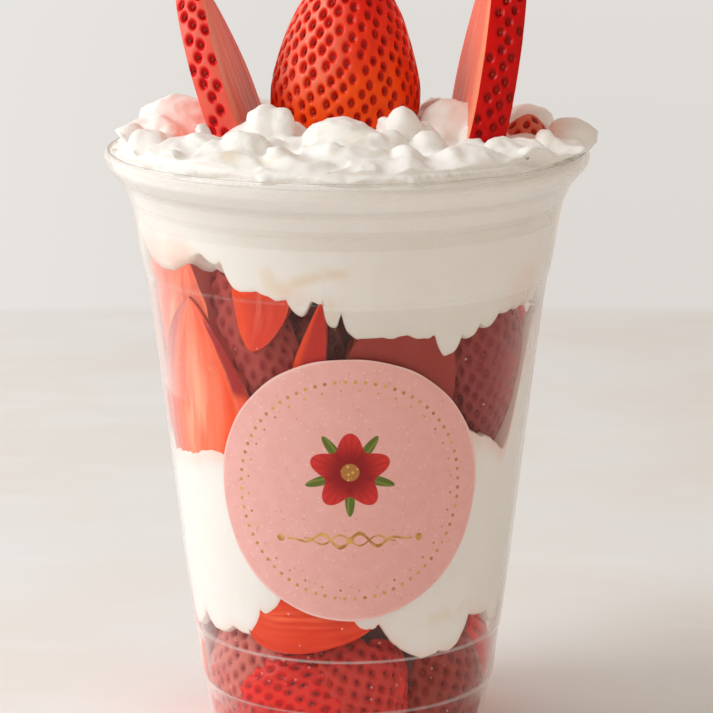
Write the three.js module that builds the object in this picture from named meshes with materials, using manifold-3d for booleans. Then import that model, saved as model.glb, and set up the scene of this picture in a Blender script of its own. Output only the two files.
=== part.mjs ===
// A clear plastic cup of strawberries and cream: cut strawberries, whipped cream, cut strawberries
// and whipped cream again, in layers, with strawberries standing in the cream on top.
// Millimetres, +Z up. The origin is the centre of the cup's flat base, and the front faces -Y.
// Angles are degrees round the cup: 0 at the front, positive towards +X.
import * as THREE from 'three';
import { mergeVertices } from 'three/addons/utils/BufferGeometryUtils.js';
import Module from 'manifold-3d';

const wasm = await Module();
wasm.setup();

// ---------------------------------------------------------------- driving dimensions

const WALL = 0.7; // thickness of the cup's wall
const FLOOR = 0.8; // thickness of the cup's base
const GAP = 0.3; // clearance between pieces that touch
const LABEL_SIZE = 54.5; // across the round label
const LABEL_ANGLE = 1;
const LABEL_HEIGHT = 61.3; // of the label's centre
const LABEL_THICKNESS = 0.3;
const CORE_INSET = 7; // how far the middle of a heap of berries stays from the wall
const MERGE_DISTANCE = 1e-4; // corners closer than this are one

const CUP_SIDES = 48;
const CORE_SIDES = 16;
const LABEL_COLUMNS = 24;
const BERRY_SIDES = 10;
const WHOLE_BERRY_SIDES = 20;
// The fill turns in fine steps where its edges show at the front, and coarse ones behind.
const FRONT_STEP = 4;
const BACK_STEP = 11;
const FRONT_HALF = 92;

// The cup's outside, radius and height: base corner, lower rib, upper rib, plain wall, step,
// stacking shoulder and the flare under the lip.
const CUP_OUTSIDE = [
  [28.6, 1.2],
  [29.9, 12.4],
  [30.8, 13.4],
  [31.7, 23.6],
  [32.4, 25],
  [40.5, 96.8],
  [41.8, 100.2],
  [43.5, 112.4],
  [45.4, 117],
  [47.9, 119.9],
];
const BASE_RADIUS = 27.6;
// The rolled lip, from its outside over its top to its inside.
const LIP = [
  [48.9, 121.2],
  [49.2, 122.7],
  [48.8, 123.7],
  [48.2, 124],
  [47.8, 123.6],
  [47.6, 122.4],
];
const CUP_HEIGHT = 124;

const PLAIN_WALL = [28, 96]; // heights between which the wall is plain

// Heights at which the fill follows the inside of the cup, from the base up to the lip.
const LOWER_LEVELS = [2, 12.5, 23.6];
const MIDDLE_LEVELS = [27];
const UPPER_LEVELS = [97];
const LIP_LEVELS = [112.4, 117.2, 120.2];
const CREAM_AT_LIP = 123; // where the cream leaves the wall
const FILL_LEVELS = [
  ...LOWER_LEVELS,
  ...MIDDLE_LEVELS,
  ...UPPER_LEVELS,
  ...LIP_LEVELS,
  CREAM_AT_LIP,
];
const HEAP_BOTTOM = FLOOR + GAP;

// Lobes of cream hanging down the wall: angle, half width, lowest height, height at the sides,
// and how square the lobe is.
const TOP_CREAM_LOBES = [
  [-52, 16, 109.8, 113.5, 3],
  [-38, 8, 106.5, 112, 2],
  [-27.5, 8.5, 101.4, 109, 4],
  [-20.5, 6.5, 100.7, 103, 3],
  [-12.9, 3.8, 97.4, 101.5, 1.8],
  [-7.4, 4, 99.9, 101.5, 2],
  [-4.1, 2.2, 95.8, 98, 4],
  [9.5, 12.2, 92.9, 104.5, 7],
  [22, 8, 92.2, 98, 3],
  [30.6, 5.6, 88.4, 95, 2.6],
  [37.5, 4.4, 91, 94, 2],
  [44.5, 5.4, 92.8, 96, 2],
  [51.5, 5.4, 95, 98, 2],
  [59, 7, 97.4, 101, 2],
];
const MIDDLE_CREAM_LOBES = [
  [-74, 11, 26, 31, 2],
  [-54, 9.5, 27.7, 30.6, 2.4],
  [-41, 9, 29.1, 34, 3],
  [-30, 7, 34.3, 38, 2],
  [7, 6.5, 32, 37, 3],
  [31, 21, 24.9, 34.5, 2.2],
  [39, 9.6, 25, 30.8, 2.4],
  [57, 12, 31.1, 34, 3],
];
// Just inside the wall the cream comes lower than the edge it makes on it: angle, half width, drop.
const TOP_CREAM_TUCKS = [
  [-62, 20, 6],
  [-17.5, 6, 1.5],
  [-3, 6, 1.5],
  [60, 9, 3],
];
const PLAIN_TUCK = 0.8;
// Height of the edge between lobes, and the heights and seed of the lobes round the back.
const TOP_CREAM_EDGE = { shoulder: 108, low: 93, high: 103, seed: 11 };
const MIDDLE_CREAM_EDGE = { shoulder: 38.5, low: 26, high: 34, seed: 23 };
// Round the back, where little is seen, the lobes follow a seeded rule: the angles between
// which they hang, their least and greatest spacing and half width, their rise and squareness.
const BACK_LOBES = {
  start: 68,
  end: 276,
  spacing: [9.75, 16.25],
  halfWidth: [7.8, 11.05],
  rise: 2,
  squareness: 2.5,
};

// The middle cream's upper edge on the wall, angle and height, pressed in by the berries above.
const MIDDLE_CREAM_RIM = [
  [-82, 61.8],
  [-62, 64.3],
  [-46, 66.6],
  [0, 70.5],
  [38, 72],
  [48, 69],
  [60, 65.4],
  [74, 91],
  [84, 91],
  [98, 67],
  [135, 70],
  [180, 64.5],
  [230, 69.5],
];
const TOP_CREAM_UNDERSIDE = 99; // away from the wall
const MIDDLE_CREAM_TOP = 67;
const MIDDLE_CREAM_UNDERSIDE = 33;

// Spoonfuls of cream standing up above the lip: across, depth, radius and height of the top.
const DOLLOPS = [
  [0, -28, 12.5, 133.6],
  [-15, -15, 11, 134.6],
  [10.8, -15, 8.5, 133.6],
  [15.5, -23, 6, 130.6],
  [-10.7, -24.5, 6, 130.9],
  [22, 15, 15, 133],
  [36, 24, 12, 129.6],
  [46, 1, 8.5, 129.4],
  [39.5, -10, 6.5, 128.9],
  [-34.5, 10, 8.5, 132.6],
  [-40.5, 6, 8, 130],
  [-43.5, -4, 7, 128.6],
  [-31, -22, 11, 130],
  [-22, -33, 10, 129.6],
  [22, -32, 10, 129.8],
  [32, -22, 9, 130],
  [10, -39, 7, 128.4],
  [-9, -38, 8, 128.6],
  [-4, 26, 14, 132.5],
  [-22, 30, 13, 131.5],
  [8, 38, 11, 129.5],
];
const CREAM_BED = 125.4; // lowest level of cream between the spoonfuls
const RIM_SPREAD = 47; // how far out the cream lies at lip height
// Where the cream has pushed out over the lip: its angle, half its spread and its reach. lift
// keeps it clear of the lip, start and rise shape its underside, and edge is its least thickness.
const OVERHANG = { angle: 84, spread: 34, reach: 4, lift: 0.5, start: 0.4, rise: 0.3, edge: 0.9 };

// Cut strawberries against the wall. cut is "whole", or "half" with its flat face to the wall;
// spin 180 turns the skin to the wall instead. roll 0 has the tip up, depth is how far the
// berry's long axis lies in from the wall, and a larger point makes the tip more pointed.
const UPPER_BERRIES = [
  { cut: 'half', angle: -53, height: 78, length: 40, width: 32, depth: 2.2, roll: 4, point: 0.85 },
  { cut: 'half', angle: -41, height: 86, length: 41, width: 27, depth: 14, roll: 3, spin: 180 },
  { cut: 'half', angle: -63, height: 93, length: 33, width: 27, depth: 3, roll: 26 },
  { cut: 'half', angle: -25, height: 98, length: 19, width: 11.5, depth: 2, roll: 194 },
  { cut: 'whole', angle: -20, height: 82, length: 36, width: 25, depth: 15.5, roll: 20 },
  { cut: 'half', angle: -11.7, height: 83.7, length: 34, width: 7, depth: 1.6, roll: 12, point: 0.8 },
  { cut: 'half', angle: 17.5, height: 79.5, length: 33, width: 21.5, depth: 3, roll: 174 },
  { cut: 'half', angle: 57, height: 80, length: 36, width: 22, depth: 10, roll: 177, spin: 180 },
];
const LOWER_BERRIES = [
  { cut: 'half', angle: -55, height: 16, length: 34, width: 27, depth: 12, roll: 20, spin: 180 },
  { cut: 'half', angle: -14, height: 33.5, length: 29, width: 15, depth: 1.8, roll: 86 },
  { cut: 'half', angle: -17, height: 13, length: 35.5, width: 27, depth: 11.5, roll: 70, spin: 180 },
  { cut: 'half', angle: 8, height: 14, length: 32, width: 21, depth: 10.5, roll: 165, spin: 180 },
  { cut: 'half', angle: 61, height: 16, length: 34, width: 25, depth: 12.5, roll: -15, spin: 180 },
];
// Round the back: least and greatest width and length, how far the height and the roll stray,
// and the depth of a half with its skin out, as a share of its width, or its face out.
const BACK_BERRIES = {
  angles: [104, 135, 168, 201, 234, 262],
  width: [24, 30],
  length: [32, 40],
  stray: 3,
  roll: 35,
  skinDepth: 0.45,
  faceDepth: 2.4,
};
const UPPER_BACK = { height: 83, seed: 5 };
const LOWER_BACK = { height: 17, seed: 9 };

// The strawberries standing on top.
const CENTRE_BERRY = { length: 43, width: 30, at: [-1.2, 2, 118.2], lean: 2.8 };
const SLICES = {
  slice_left: {
    length: 41,
    width: 28,
    point: 0.75,
    thickness: 5.8,
    at: [-18.4, 0, 118],
    lean: -19.5,
    yaw: -8,
  },
  slice_right: {
    length: 44.5,
    width: 28,
    thickness: 7.2,
    at: [24.4, 0, 118],
    lean: 10.5,
    yaw: 7.5,
  },
};
const REAR_BERRY = { length: 20, width: 15, at: [34.6, 7, 109.5], lean: 8 };

// Outline of a strawberry: share of its length below the widest place, and how full its tip and
// its shoulder are.
const SHOULDER_SHARE = 0.38;
const TIP_BULGE = 1.6;
const PLAIN_POINT = 0.6;
const SHOULDER_BULGE = 2.6;
const SHOULDER_ROUND = 0.5;
const TIP_STEPS = 4;
const SHOULDER_STEPS = 2;

// ---------------------------------------------------------------- arithmetic

const radians = THREE.MathUtils.degToRad;
const clamp = THREE.MathUtils.clamp;
const mix = THREE.MathUtils.lerp;

// Degrees from one angle to another, between -180 and 180.
const turnBetween = (a, b) => THREE.MathUtils.euclideanModulo(a - b + 180, 360) - 180;

// Straight-line reading of a table of [value, key] rows in rising order of key.
function readTable(rows, key) {
  const last = rows.length - 1;
  const next = clamp(rows.findIndex((row) => row[1] > key), 1, last);
  const i = key >= rows[last][1] ? last : next;
  const [v0, k0] = rows[i - 1];
  const [v1, k1] = rows[i];
  return mix(v0, v1, clamp((key - k0) / (k1 - k0), 0, 1));
}

// Numbers between 0 and 1 from a seed, the same on every run.
function seededDraws(seed) {
  let state = seed;
  return () => {
    state = (Math.imul(state, 1664525) + 1013904223) >>> 0;
    return state / 2 ** 32;
  };
}

// ---------------------------------------------------------------- solids

function toSolid(geometry) {
  const bare = geometry.clone();
  bare.deleteAttribute('normal');
  bare.deleteAttribute('uv');
  const merged = mergeVertices(bare, MERGE_DISTANCE);
  const mesh = new wasm.Mesh({
    numProp: 3,
    vertProperties: merged.attributes.position.array,
    triVerts: new Uint32Array(merged.index.array),
  });
  return new wasm.Manifold(mesh);
}

// The largest body of a solid: loose scraps go, and sealed hollows are filled.
function largestBody(solid) {
  return solid.decompose().reduce((best, body) => (body.volume() > best.volume() ? body : best));
}

function toGeometry(solid) {
  const { vertProperties, triVerts } = largestBody(solid).getMesh();
  const geometry = new THREE.BufferGeometry();
  geometry.setAttribute('position', new THREE.BufferAttribute(vertProperties, 3));
  geometry.setIndex(new THREE.BufferAttribute(triVerts, 1));
  geometry.computeVertexNormals();
  return geometry;
}

function lathe(outline, sides) {
  const points = outline.map(([radius, height]) => new THREE.Vector2(radius, height));
  return new THREE.LatheGeometry(points, sides).rotateX(Math.PI / 2);
}

const FILL_ANGLES = [];
for (let angle = -FRONT_HALF; angle < FRONT_HALF; angle += FRONT_STEP) {
  FILL_ANGLES.push(angle);
}
for (let angle = FRONT_HALF; angle < 360 - FRONT_HALF; angle += BACK_STEP) {
  FILL_ANGLES.push(angle);
}

// A closed body like a lathe's whose outline changes round the axis. outlineAt(angle) gives
// [radius, height] points, as many at every angle, and the first and last lie on the axis.
// A face is split the same way seen from above or below, so two bodies that share it fit.
function changingLathe(outlineAt) {
  const sides = FILL_ANGLES.length;
  const outlines = FILL_ANGLES.map((angle) => outlineAt(angle));
  const rings = outlines[0].length - 2;
  const positions = [];
  for (let ring = 1; ring <= rings; ring += 1) {
    outlines.forEach((outline, i) => {
      const [radius, height] = outline[ring];
      const angle = radians(FILL_ANGLES[i]);
      positions.push(radius * Math.sin(angle), -radius * Math.cos(angle), height);
    });
  }
  const bottom = rings * sides;
  const top = bottom + 1;
  positions.push(0, 0, outlines[0][0][1], 0, 0, outlines[0][rings + 1][1]);
  const index = [];
  for (let i = 0; i < sides; i += 1) {
    const next = (i + 1) % sides;
    index.push(bottom, next, i);
    for (let ring = 0; ring < rings - 1; ring += 1) {
      const low = ring * sides;
      const high = low + sides;
      const inwards = outlines[i][ring + 2][0] < outlines[i][ring + 1][0];
      if (inwards) {
        index.push(low + i, low + next, high + i, low + next, high + next, high + i);
      } else {
        index.push(low + i, low + next, high + next, low + i, high + next, high + i);
      }
    }
    index.push((rings - 1) * sides + i, (rings - 1) * sides + next, top);
  }
  const geometry = new THREE.BufferGeometry();
  geometry.setAttribute('position', new THREE.Float32BufferAttribute(positions, 3));
  geometry.setIndex(index);
  geometry.computeVertexNormals();
  return geometry;
}

// ---------------------------------------------------------------- cup

// The outline moved inwards by a thickness, square to itself.
function inset(outline, thickness) {
  return outline.map(([radius, height], i) => {
    const [r0, h0] = outline[Math.max(i - 1, 0)];
    const [r1, h1] = outline[Math.min(i + 1, outline.length - 1)];
    const length = Math.hypot(r1 - r0, h1 - h0);
    const across = (thickness * (h1 - h0)) / length;
    const up = (thickness * (r1 - r0)) / length;
    return [radius - across, height + up];
  });
}

const CUP_INSIDE = inset(CUP_OUTSIDE, WALL);
const insideRadius = (height) => readTable(CUP_INSIDE, height);
const outsideRadius = (height) => readTable(CUP_OUTSIDE, height);

function cup() {
  const outline = [
    [0, 0],
    [BASE_RADIUS, 0],
    ...CUP_OUTSIDE,
    ...LIP,
    ...CUP_INSIDE.slice().reverse(),
    [BASE_RADIUS - WALL, FLOOR],
    [0, FLOOR],
  ];
  return lathe(outline, CUP_SIDES);
}

// ---------------------------------------------------------------- label

// A round sheet wrapped on the wall in narrow strips. Its width is measured along the wall at
// each height, so it stays round on the cone.
function label() {
  const inner = GAP;
  const outer = GAP + LABEL_THICKNESS;
  const positions = [];
  const add = (across, up, off) => {
    const height = LABEL_HEIGHT + up;
    const radius = outsideRadius(height) + off;
    const angle = radians(LABEL_ANGLE) + across / outsideRadius(height);
    positions.push(radius * Math.sin(angle), -radius * Math.cos(angle), height);
  };
  for (let i = 0; i <= LABEL_COLUMNS; i += 1) {
    const turn = (Math.PI * (i + 0.5)) / (LABEL_COLUMNS + 1);
    const across = (-LABEL_SIZE / 2) * Math.cos(turn);
    const up = (LABEL_SIZE / 2) * Math.sin(turn);
    add(across, -up, outer);
    add(across, up, outer);
    add(across, up, inner);
    add(across, -up, inner);
  }
  const index = [];
  const quad = (a, b, c, d) => index.push(a, b, c, a, c, d);
  quad(0, 1, 2, 3);
  for (let i = 0; i < LABEL_COLUMNS; i += 1) {
    const here = 4 * i;
    const next = here + 4;
    quad(here, next, next + 1, here + 1);
    quad(here + 1, next + 1, next + 2, here + 2);
    quad(here + 2, next + 2, next + 3, here + 3);
    quad(here + 3, next + 3, next, here);
  }
  const end = 4 * LABEL_COLUMNS;
  quad(end + 1, end, end + 3, end + 2);
  const geometry = new THREE.BufferGeometry();
  geometry.setAttribute('position', new THREE.Float32BufferAttribute(positions, 3));
  geometry.setIndex(index);
  geometry.computeVertexNormals();
  return geometry;
}

// ---------------------------------------------------------------- layers of cream

const FILL_OUTLINE = [
  [BASE_RADIUS - WALL - GAP, HEAP_BOTTOM],
  ...FILL_LEVELS.map((height) => [insideRadius(height) - GAP, height]),
];
const fillRadius = (height) => readTable(FILL_OUTLINE, height);

// Adds lobes round the back, with heights between low and high.
function withBackLobes(lobes, { low, high, seed }) {
  const { start, end, spacing, halfWidth, rise, squareness } = BACK_LOBES;
  const draw = seededDraws(seed);
  const back = [];
  for (let angle = start; angle < end; angle += mix(...spacing, draw())) {
    const lowest = mix(low, high, draw());
    back.push([angle, mix(...halfWidth, draw()), lowest, high + rise, squareness]);
  }
  return [...lobes, ...back];
}

// Height of a lobed edge at an angle: the lowest lobe there, or the shoulder between lobes.
function lobedEdge(front, { shoulder, ...back }) {
  const lobes = withBackLobes(front, back);
  return (angle) => {
    const heights = lobes.map(([at, halfWidth, lowest, side, squareness]) => {
      const share = Math.abs(turnBetween(angle, at)) / halfWidth;
      return share < 1 ? mix(lowest, side, share ** squareness) : shoulder;
    });
    return Math.min(shoulder, ...heights);
  };
}

// Height of a smooth edge through [angle, height] places round the cup.
function smoothEdge(places) {
  return (angle) => {
    const i = places.findIndex(([at], k) => {
      const [next] = places[(k + 1) % places.length];
      return THREE.MathUtils.euclideanModulo(angle - at, 360)
        < THREE.MathUtils.euclideanModulo(next - at, 360);
    });
    const [at, height] = places[i];
    const [next, nextHeight] = places[(i + 1) % places.length];
    const share = THREE.MathUtils.euclideanModulo(angle - at, 360)
      / THREE.MathUtils.euclideanModulo(next - at, 360);
    return mix(height, nextHeight, THREE.MathUtils.smoothstep(share, 0, 1));
  };
}

const topCreamEdge = lobedEdge(TOP_CREAM_LOBES, TOP_CREAM_EDGE);
const middleCreamEdge = lobedEdge(MIDDLE_CREAM_LOBES, MIDDLE_CREAM_EDGE);
const middleCreamRim = smoothEdge(MIDDLE_CREAM_RIM);

// A face inside the cup from its middle height out to its edge on the wall, as [radius, height].
// Close to the wall it lies lower than its edge by the tuck.
const FACE_RINGS = [0, 0.7];
const FACE_POWER = 4; // how late the face turns from its middle height to its edge
const TUCK_RING = 0.955;
function facePoints(middle, edge, offset, tuck = 0) {
  const outer = fillRadius(edge + offset);
  const points = FACE_RINGS.map((share) => {
    const height = mix(middle, edge, share ** FACE_POWER);
    return [share * outer, height + offset];
  });
  return [...points, [TUCK_RING * outer, edge + offset - tuck]];
}

const topCreamTuck = (angle) => {
  const drops = TOP_CREAM_TUCKS.map(([at, halfWidth, drop]) => {
    const share = turnBetween(angle, at) / halfWidth;
    return drop * Math.max(0, 1 - share ** 2);
  });
  return Math.max(PLAIN_TUCK, ...drops);
};

// The stretch of wall between two heights, as [radius, height] points at the fill's levels.
const RING_STEP = 0.05; // least height between two rings
function wallPoints(low, high, levels) {
  const heights = [low];
  levels.forEach((level, i) => {
    const roomBelow = low + RING_STEP * (i + 1);
    const roomAbove = high - RING_STEP * (levels.length - i);
    heights.push(clamp(level, roomBelow, roomAbove));
  });
  heights.push(high);
  return heights.map((height) => [fillRadius(height), height]);
}

function middleCream() {
  return changingLathe((angle) => {
    const low = middleCreamEdge(angle);
    const high = middleCreamRim(angle);
    return [
      ...facePoints(MIDDLE_CREAM_UNDERSIDE, low, 0, PLAIN_TUCK),
      ...wallPoints(low, high, MIDDLE_LEVELS),
      ...facePoints(MIDDLE_CREAM_TOP, high, 0).reverse(),
    ];
  });
}

// Height of the cream's upper surface at a place: the highest spoonful there.
function creamTop(x, y) {
  const heights = DOLLOPS.map(([across, depth, radius, peak]) => {
    const share = Math.hypot(x - across, y - depth) / radius;
    return peak - (peak - CREAM_BED) * share ** 2;
  });
  return Math.max(CREAM_BED, ...heights);
}

const TOP_RINGS = [0.985, 0.93, 0.86, 0.78, 0.69, 0.59, 0.48, 0.36, 0.2];
const EDGE_ROUND = { start: 0.85, fall: 1.6 }; // where and how far the cream rounds down to the lip

function topCream() {
  const { angle: at, spread: halfSpread, reach, lift, start, rise, edge } = OVERHANG;
  const underside = CUP_HEIGHT + lift;
  return changingLathe((angle) => {
    const low = topCreamEdge(angle);
    const x = Math.sin(radians(angle));
    const y = -Math.cos(radians(angle));
    const out = Math.max(0, 1 - (turnBetween(angle, at) / halfSpread) ** 2);
    const spread = RIM_SPREAD + reach * out;
    const top = TOP_RINGS.map((share) => {
      const height = creamTop(spread * share * x, spread * share * y);
      const past = clamp((share - EDGE_ROUND.start) / (1 - EDGE_ROUND.start), 0, 1);
      return [spread * share, Math.max(height - EDGE_ROUND.fall * past ** 2, underside + edge)];
    });
    return [
      ...facePoints(TOP_CREAM_UNDERSIDE, low, 0, topCreamTuck(angle)),
      ...wallPoints(low, CREAM_AT_LIP, [...UPPER_LEVELS, ...LIP_LEVELS]),
      [RIM_SPREAD - start, underside],
      [spread, underside + rise],
      ...top,
      [0, creamTop(0, 0)],
    ];
  });
}

// ---------------------------------------------------------------- strawberries

// A strawberry with its stalk end at the origin and its tip along +Z.
function berry({ length, width, point = PLAIN_POINT, sides = BERRY_SIDES, steps = 1 }) {
  const shoulder = SHOULDER_SHARE * length;
  const tip = length - shoulder;
  const outline = [];
  for (let i = 0; i < SHOULDER_STEPS * steps; i += 1) {
    const share = Math.cos((Math.PI / 2) * (i / (SHOULDER_STEPS * steps)));
    const radius = (1 - share ** SHOULDER_BULGE) ** SHOULDER_ROUND;
    outline.push([(width / 2) * radius, shoulder * (1 - share)]);
  }
  for (let i = 0; i <= TIP_STEPS * steps; i += 1) {
    const share = Math.sin((Math.PI / 2) * (i / (TIP_STEPS * steps)));
    const radius = Math.max(1 - share ** TIP_BULGE, 0) ** point;
    outline.push([(width / 2) * radius, shoulder + tip * share]);
  }
  return lathe(outline, sides);
}

function moved(geometry, ...matrices) {
  const matrix = new THREE.Matrix4();
  matrices.forEach((step) => matrix.multiply(step));
  return geometry.clone().applyMatrix4(matrix);
}
const shift = (x, y, z) => new THREE.Matrix4().makeTranslation(x, y, z);
const turnX = (angle) => new THREE.Matrix4().makeRotationX(radians(angle));
const turnY = (angle) => new THREE.Matrix4().makeRotationY(radians(angle));
const turnZ = (angle) => new THREE.Matrix4().makeRotationZ(radians(angle));

const [PLAIN_LOW, PLAIN_HIGH] = PLAIN_WALL;
const WALL_LEAN = THREE.MathUtils.radToDeg(
  Math.atan2(insideRadius(PLAIN_HIGH) - insideRadius(PLAIN_LOW), PLAIN_HIGH - PLAIN_LOW),
);

// A whole strawberry or a half of one, set against the inside of the cup.
function wallBerry({ cut, angle, height, length, width, depth, roll, spin = 0, point }) {
  const whole = berry({ length, width, point }).translate(0, 0, -length / 2);
  const block = new THREE.BoxGeometry(2 * width, width, 2 * length).translate(0, width / 2, 0);
  const place = [
    turnZ(angle),
    shift(0, depth - insideRadius(height), height),
    turnX(WALL_LEAN),
    turnY(roll),
    turnZ(spin),
  ];
  const body = toSolid(moved(whole, ...place));
  return cut === 'whole' ? body : body.intersect(toSolid(moved(block, ...place)));
}

// Berries round the back of a heap, by a seeded rule, every other one with its skin out.
function backBerries({ height, seed }) {
  const { angles, stray, roll, skinDepth, faceDepth } = BACK_BERRIES;
  const draw = seededDraws(seed);
  return angles.map((angle, i) => {
    const width = mix(...BACK_BERRIES.width, draw());
    const skinOut = i % 2 === 0;
    return {
      cut: 'half',
      angle,
      height: height + mix(-stray, stray, draw()),
      length: mix(...BACK_BERRIES.length, draw()),
      width,
      depth: skinOut ? skinDepth * width : faceDepth,
      roll: mix(-roll, roll, draw()),
      spin: skinOut ? 180 : 0,
    };
  });
}

// A heap of cut berries in the room between two faces: a core with the berries fused on.
function berryHeap(berries, room) {
  const coreOutline = [
    [0, 0],
    ...FILL_OUTLINE.map(([radius, height]) => [radius - CORE_INSET, height]),
    [0, CUP_HEIGHT],
  ];
  const core = toSolid(lathe(coreOutline, CORE_SIDES));
  const heap = berries.reduce((all, piece) => all.add(wallBerry(piece)), core);
  return toGeometry(heap.intersect(toSolid(room)));
}

function upperBerries() {
  const room = changingLathe((angle) => {
    const low = middleCreamRim(angle);
    const high = topCreamEdge(angle);
    return [
      ...facePoints(MIDDLE_CREAM_TOP, low, GAP),
      ...wallPoints(low + GAP, high - GAP, UPPER_LEVELS),
      ...facePoints(TOP_CREAM_UNDERSIDE, high, -GAP, topCreamTuck(angle)).reverse(),
    ];
  });
  return berryHeap([...UPPER_BERRIES, ...backBerries(UPPER_BACK)], room);
}

function lowerBerries() {
  const room = changingLathe((angle) => {
    const high = middleCreamEdge(angle);
    return [
      [0, HEAP_BOTTOM],
      ...wallPoints(HEAP_BOTTOM, high - GAP, LOWER_LEVELS),
      ...facePoints(MIDDLE_CREAM_UNDERSIDE, high, -GAP, PLAIN_TUCK).reverse(),
    ];
  });
  return berryHeap([...LOWER_BERRIES, ...backBerries(LOWER_BACK)], room);
}

const FINE = { sides: WHOLE_BERRY_SIDES, steps: 2 };

// The strawberries on top are made a little larger, by grow, to cut their beds in the cream.
function centreBerry(grow = 0) {
  const { length, width, at, lean } = CENTRE_BERRY;
  const size = { length: length + 2 * grow, width: width + 2 * grow };
  return moved(berry({ ...size, ...FINE }).translate(0, 0, -grow), shift(...at), turnY(lean));
}

function slice(name, grow = 0) {
  const { length, width, point, thickness, at, lean, yaw } = SLICES[name];
  const size = { length: length + 2 * grow, width: width + 2 * grow, point };
  const whole = berry({ ...size, ...FINE }).translate(0, 0, -grow);
  const slab = new THREE.BoxGeometry(thickness + 2 * grow, 2 * width, 3 * length);
  const place = [shift(...at), turnY(lean), turnZ(yaw)];
  return toGeometry(toSolid(moved(whole, ...place)).intersect(toSolid(moved(slab, ...place))));
}

function rearBerry(grow = 0) {
  const { length, width, at, lean } = REAR_BERRY;
  const size = { length: length + 2 * grow, width: width + 2 * grow };
  return moved(berry(size).translate(0, 0, -grow), shift(...at), turnY(lean));
}

// ---------------------------------------------------------------- the whole

const PIECES = {
  cup,
  label,
  berries_lower: lowerBerries,
  cream_middle: middleCream,
  berries_upper: upperBerries,
  cream_top: () => {
    const slices = Object.keys(SLICES).map((name) => slice(name, GAP));
    const beds = [centreBerry(GAP), ...slices, rearBerry(GAP)];
    const body = beds.reduce((cream, bed) => cream.subtract(toSolid(bed)), toSolid(topCream()));
    return toGeometry(body);
  },
  berry_centre: () => centreBerry(),
  slice_left: () => slice('slice_left'),
  slice_right: () => slice('slice_right'),
  berry_rear: () => rearBerry(),
};

// Colour, roughness and metalness of each piece.
const FINISHES = {
  cup: ['#e8e6e2', 0.08, 0],
  label: ['#e6aaa6', 0.7, 0],
  berries_lower: ['#b03a34', 0.35, 0],
  cream_middle: ['#ece6dc', 0.6, 0],
  berries_upper: ['#b8443c', 0.35, 0],
  cream_top: ['#f2ede5', 0.6, 0],
  berry_centre: ['#c8201a', 0.3, 0],
  slice_left: ['#cc2a24', 0.35, 0],
  slice_right: ['#cc2a24', 0.35, 0],
  berry_rear: ['#b04a34', 0.4, 0],
};

const CUP_OPACITY = 0.35;

const dessert = new THREE.Group();
for (const [name, make] of Object.entries(PIECES)) {
  const [color, roughness, metalness] = FINISHES[name];
  const material = new THREE.MeshStandardMaterial({ color, roughness, metalness });
  if (name === 'cup') {
    material.transparent = true;
    material.opacity = CUP_OPACITY;
  }
  const mesh = new THREE.Mesh(make(), material);
  mesh.name = name;
  dessert.add(mesh);
}

export default dessert;
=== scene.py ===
import math

import bpy
import numpy as np
from mathutils import Matrix, Vector, noise


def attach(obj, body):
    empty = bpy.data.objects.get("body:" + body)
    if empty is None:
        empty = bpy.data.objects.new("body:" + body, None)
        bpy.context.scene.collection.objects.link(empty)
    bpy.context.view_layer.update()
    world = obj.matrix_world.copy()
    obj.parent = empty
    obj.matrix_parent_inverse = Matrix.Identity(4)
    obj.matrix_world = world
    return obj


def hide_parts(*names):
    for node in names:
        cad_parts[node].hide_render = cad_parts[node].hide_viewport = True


bl_info = {
    "name": "Strawberries and Cream Cup",
    "version": (1, 0, 0),
    "blender": (4, 5, 0),
    "location": "3D View > Sidebar > Dessert",
    "description": "A clear cup of cut strawberries and whipped cream in layers",
    "category": "Add Mesh",
}

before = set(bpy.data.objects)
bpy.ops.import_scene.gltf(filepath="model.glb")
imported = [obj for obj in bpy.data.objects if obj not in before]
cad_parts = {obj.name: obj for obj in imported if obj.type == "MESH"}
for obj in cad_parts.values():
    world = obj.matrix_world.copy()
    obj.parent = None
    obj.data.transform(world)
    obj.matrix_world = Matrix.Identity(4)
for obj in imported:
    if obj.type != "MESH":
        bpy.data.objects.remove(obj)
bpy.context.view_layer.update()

# Heights and widths below are in millimetres, and angles in degrees round the cup: 0 at the
# front (-Y), positive towards +X. Meshes are made in metres.
MM = 0.001

# ---------------------------------------------------------------- the cup's measures

WALL = 0.7
FLOOR = 0.8
BASE_RADIUS = 27.6
CUP_OUTSIDE = (
    (28.6, 1.2),
    (29.9, 12.4),
    (30.8, 13.4),
    (31.7, 23.6),
    (32.4, 25),
    (40.5, 96.8),
    (41.8, 100.2),
    (43.5, 112.4),
    (45.4, 117),
    (47.9, 119.9),
)
LIP = (
    (48.9, 121.2),
    (49.2, 122.7),
    (48.8, 123.7),
    (48.2, 124),
    (47.8, 123.6),
    (47.6, 122.4),
)
CUP_HEIGHT = 124
# Moulded beads and the lip, each with a painted highlight along it: height, half width and
# strength.
CUP_BEADS = (
    (13.1, 0.35, 0.55),
    (24.6, 0.35, 0.6),
    (99.2, 0.5, 0.10),
    (112.6, 0.5, 0.12),
    (117.4, 0.5, 0.16),
    (121.3, 0.6, 0.35),
    (123.1, 0.7, 0.75),
)
# Painted shade: a dark line over the lip.
LIP_SHADE_LINE = (123.95, 0.22)  # height and half width of the darker line over the lip
BERRY_REACH = 0.02  # how far berries press into the wall, so that no air shows there
CREAM_REACH = 0.06
HEAP_BOTTOM = 1.1
# How far in from the wall the dark core of a heap lies, the painted shade between the pieces.
CORE_INSET = 6.5

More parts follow.
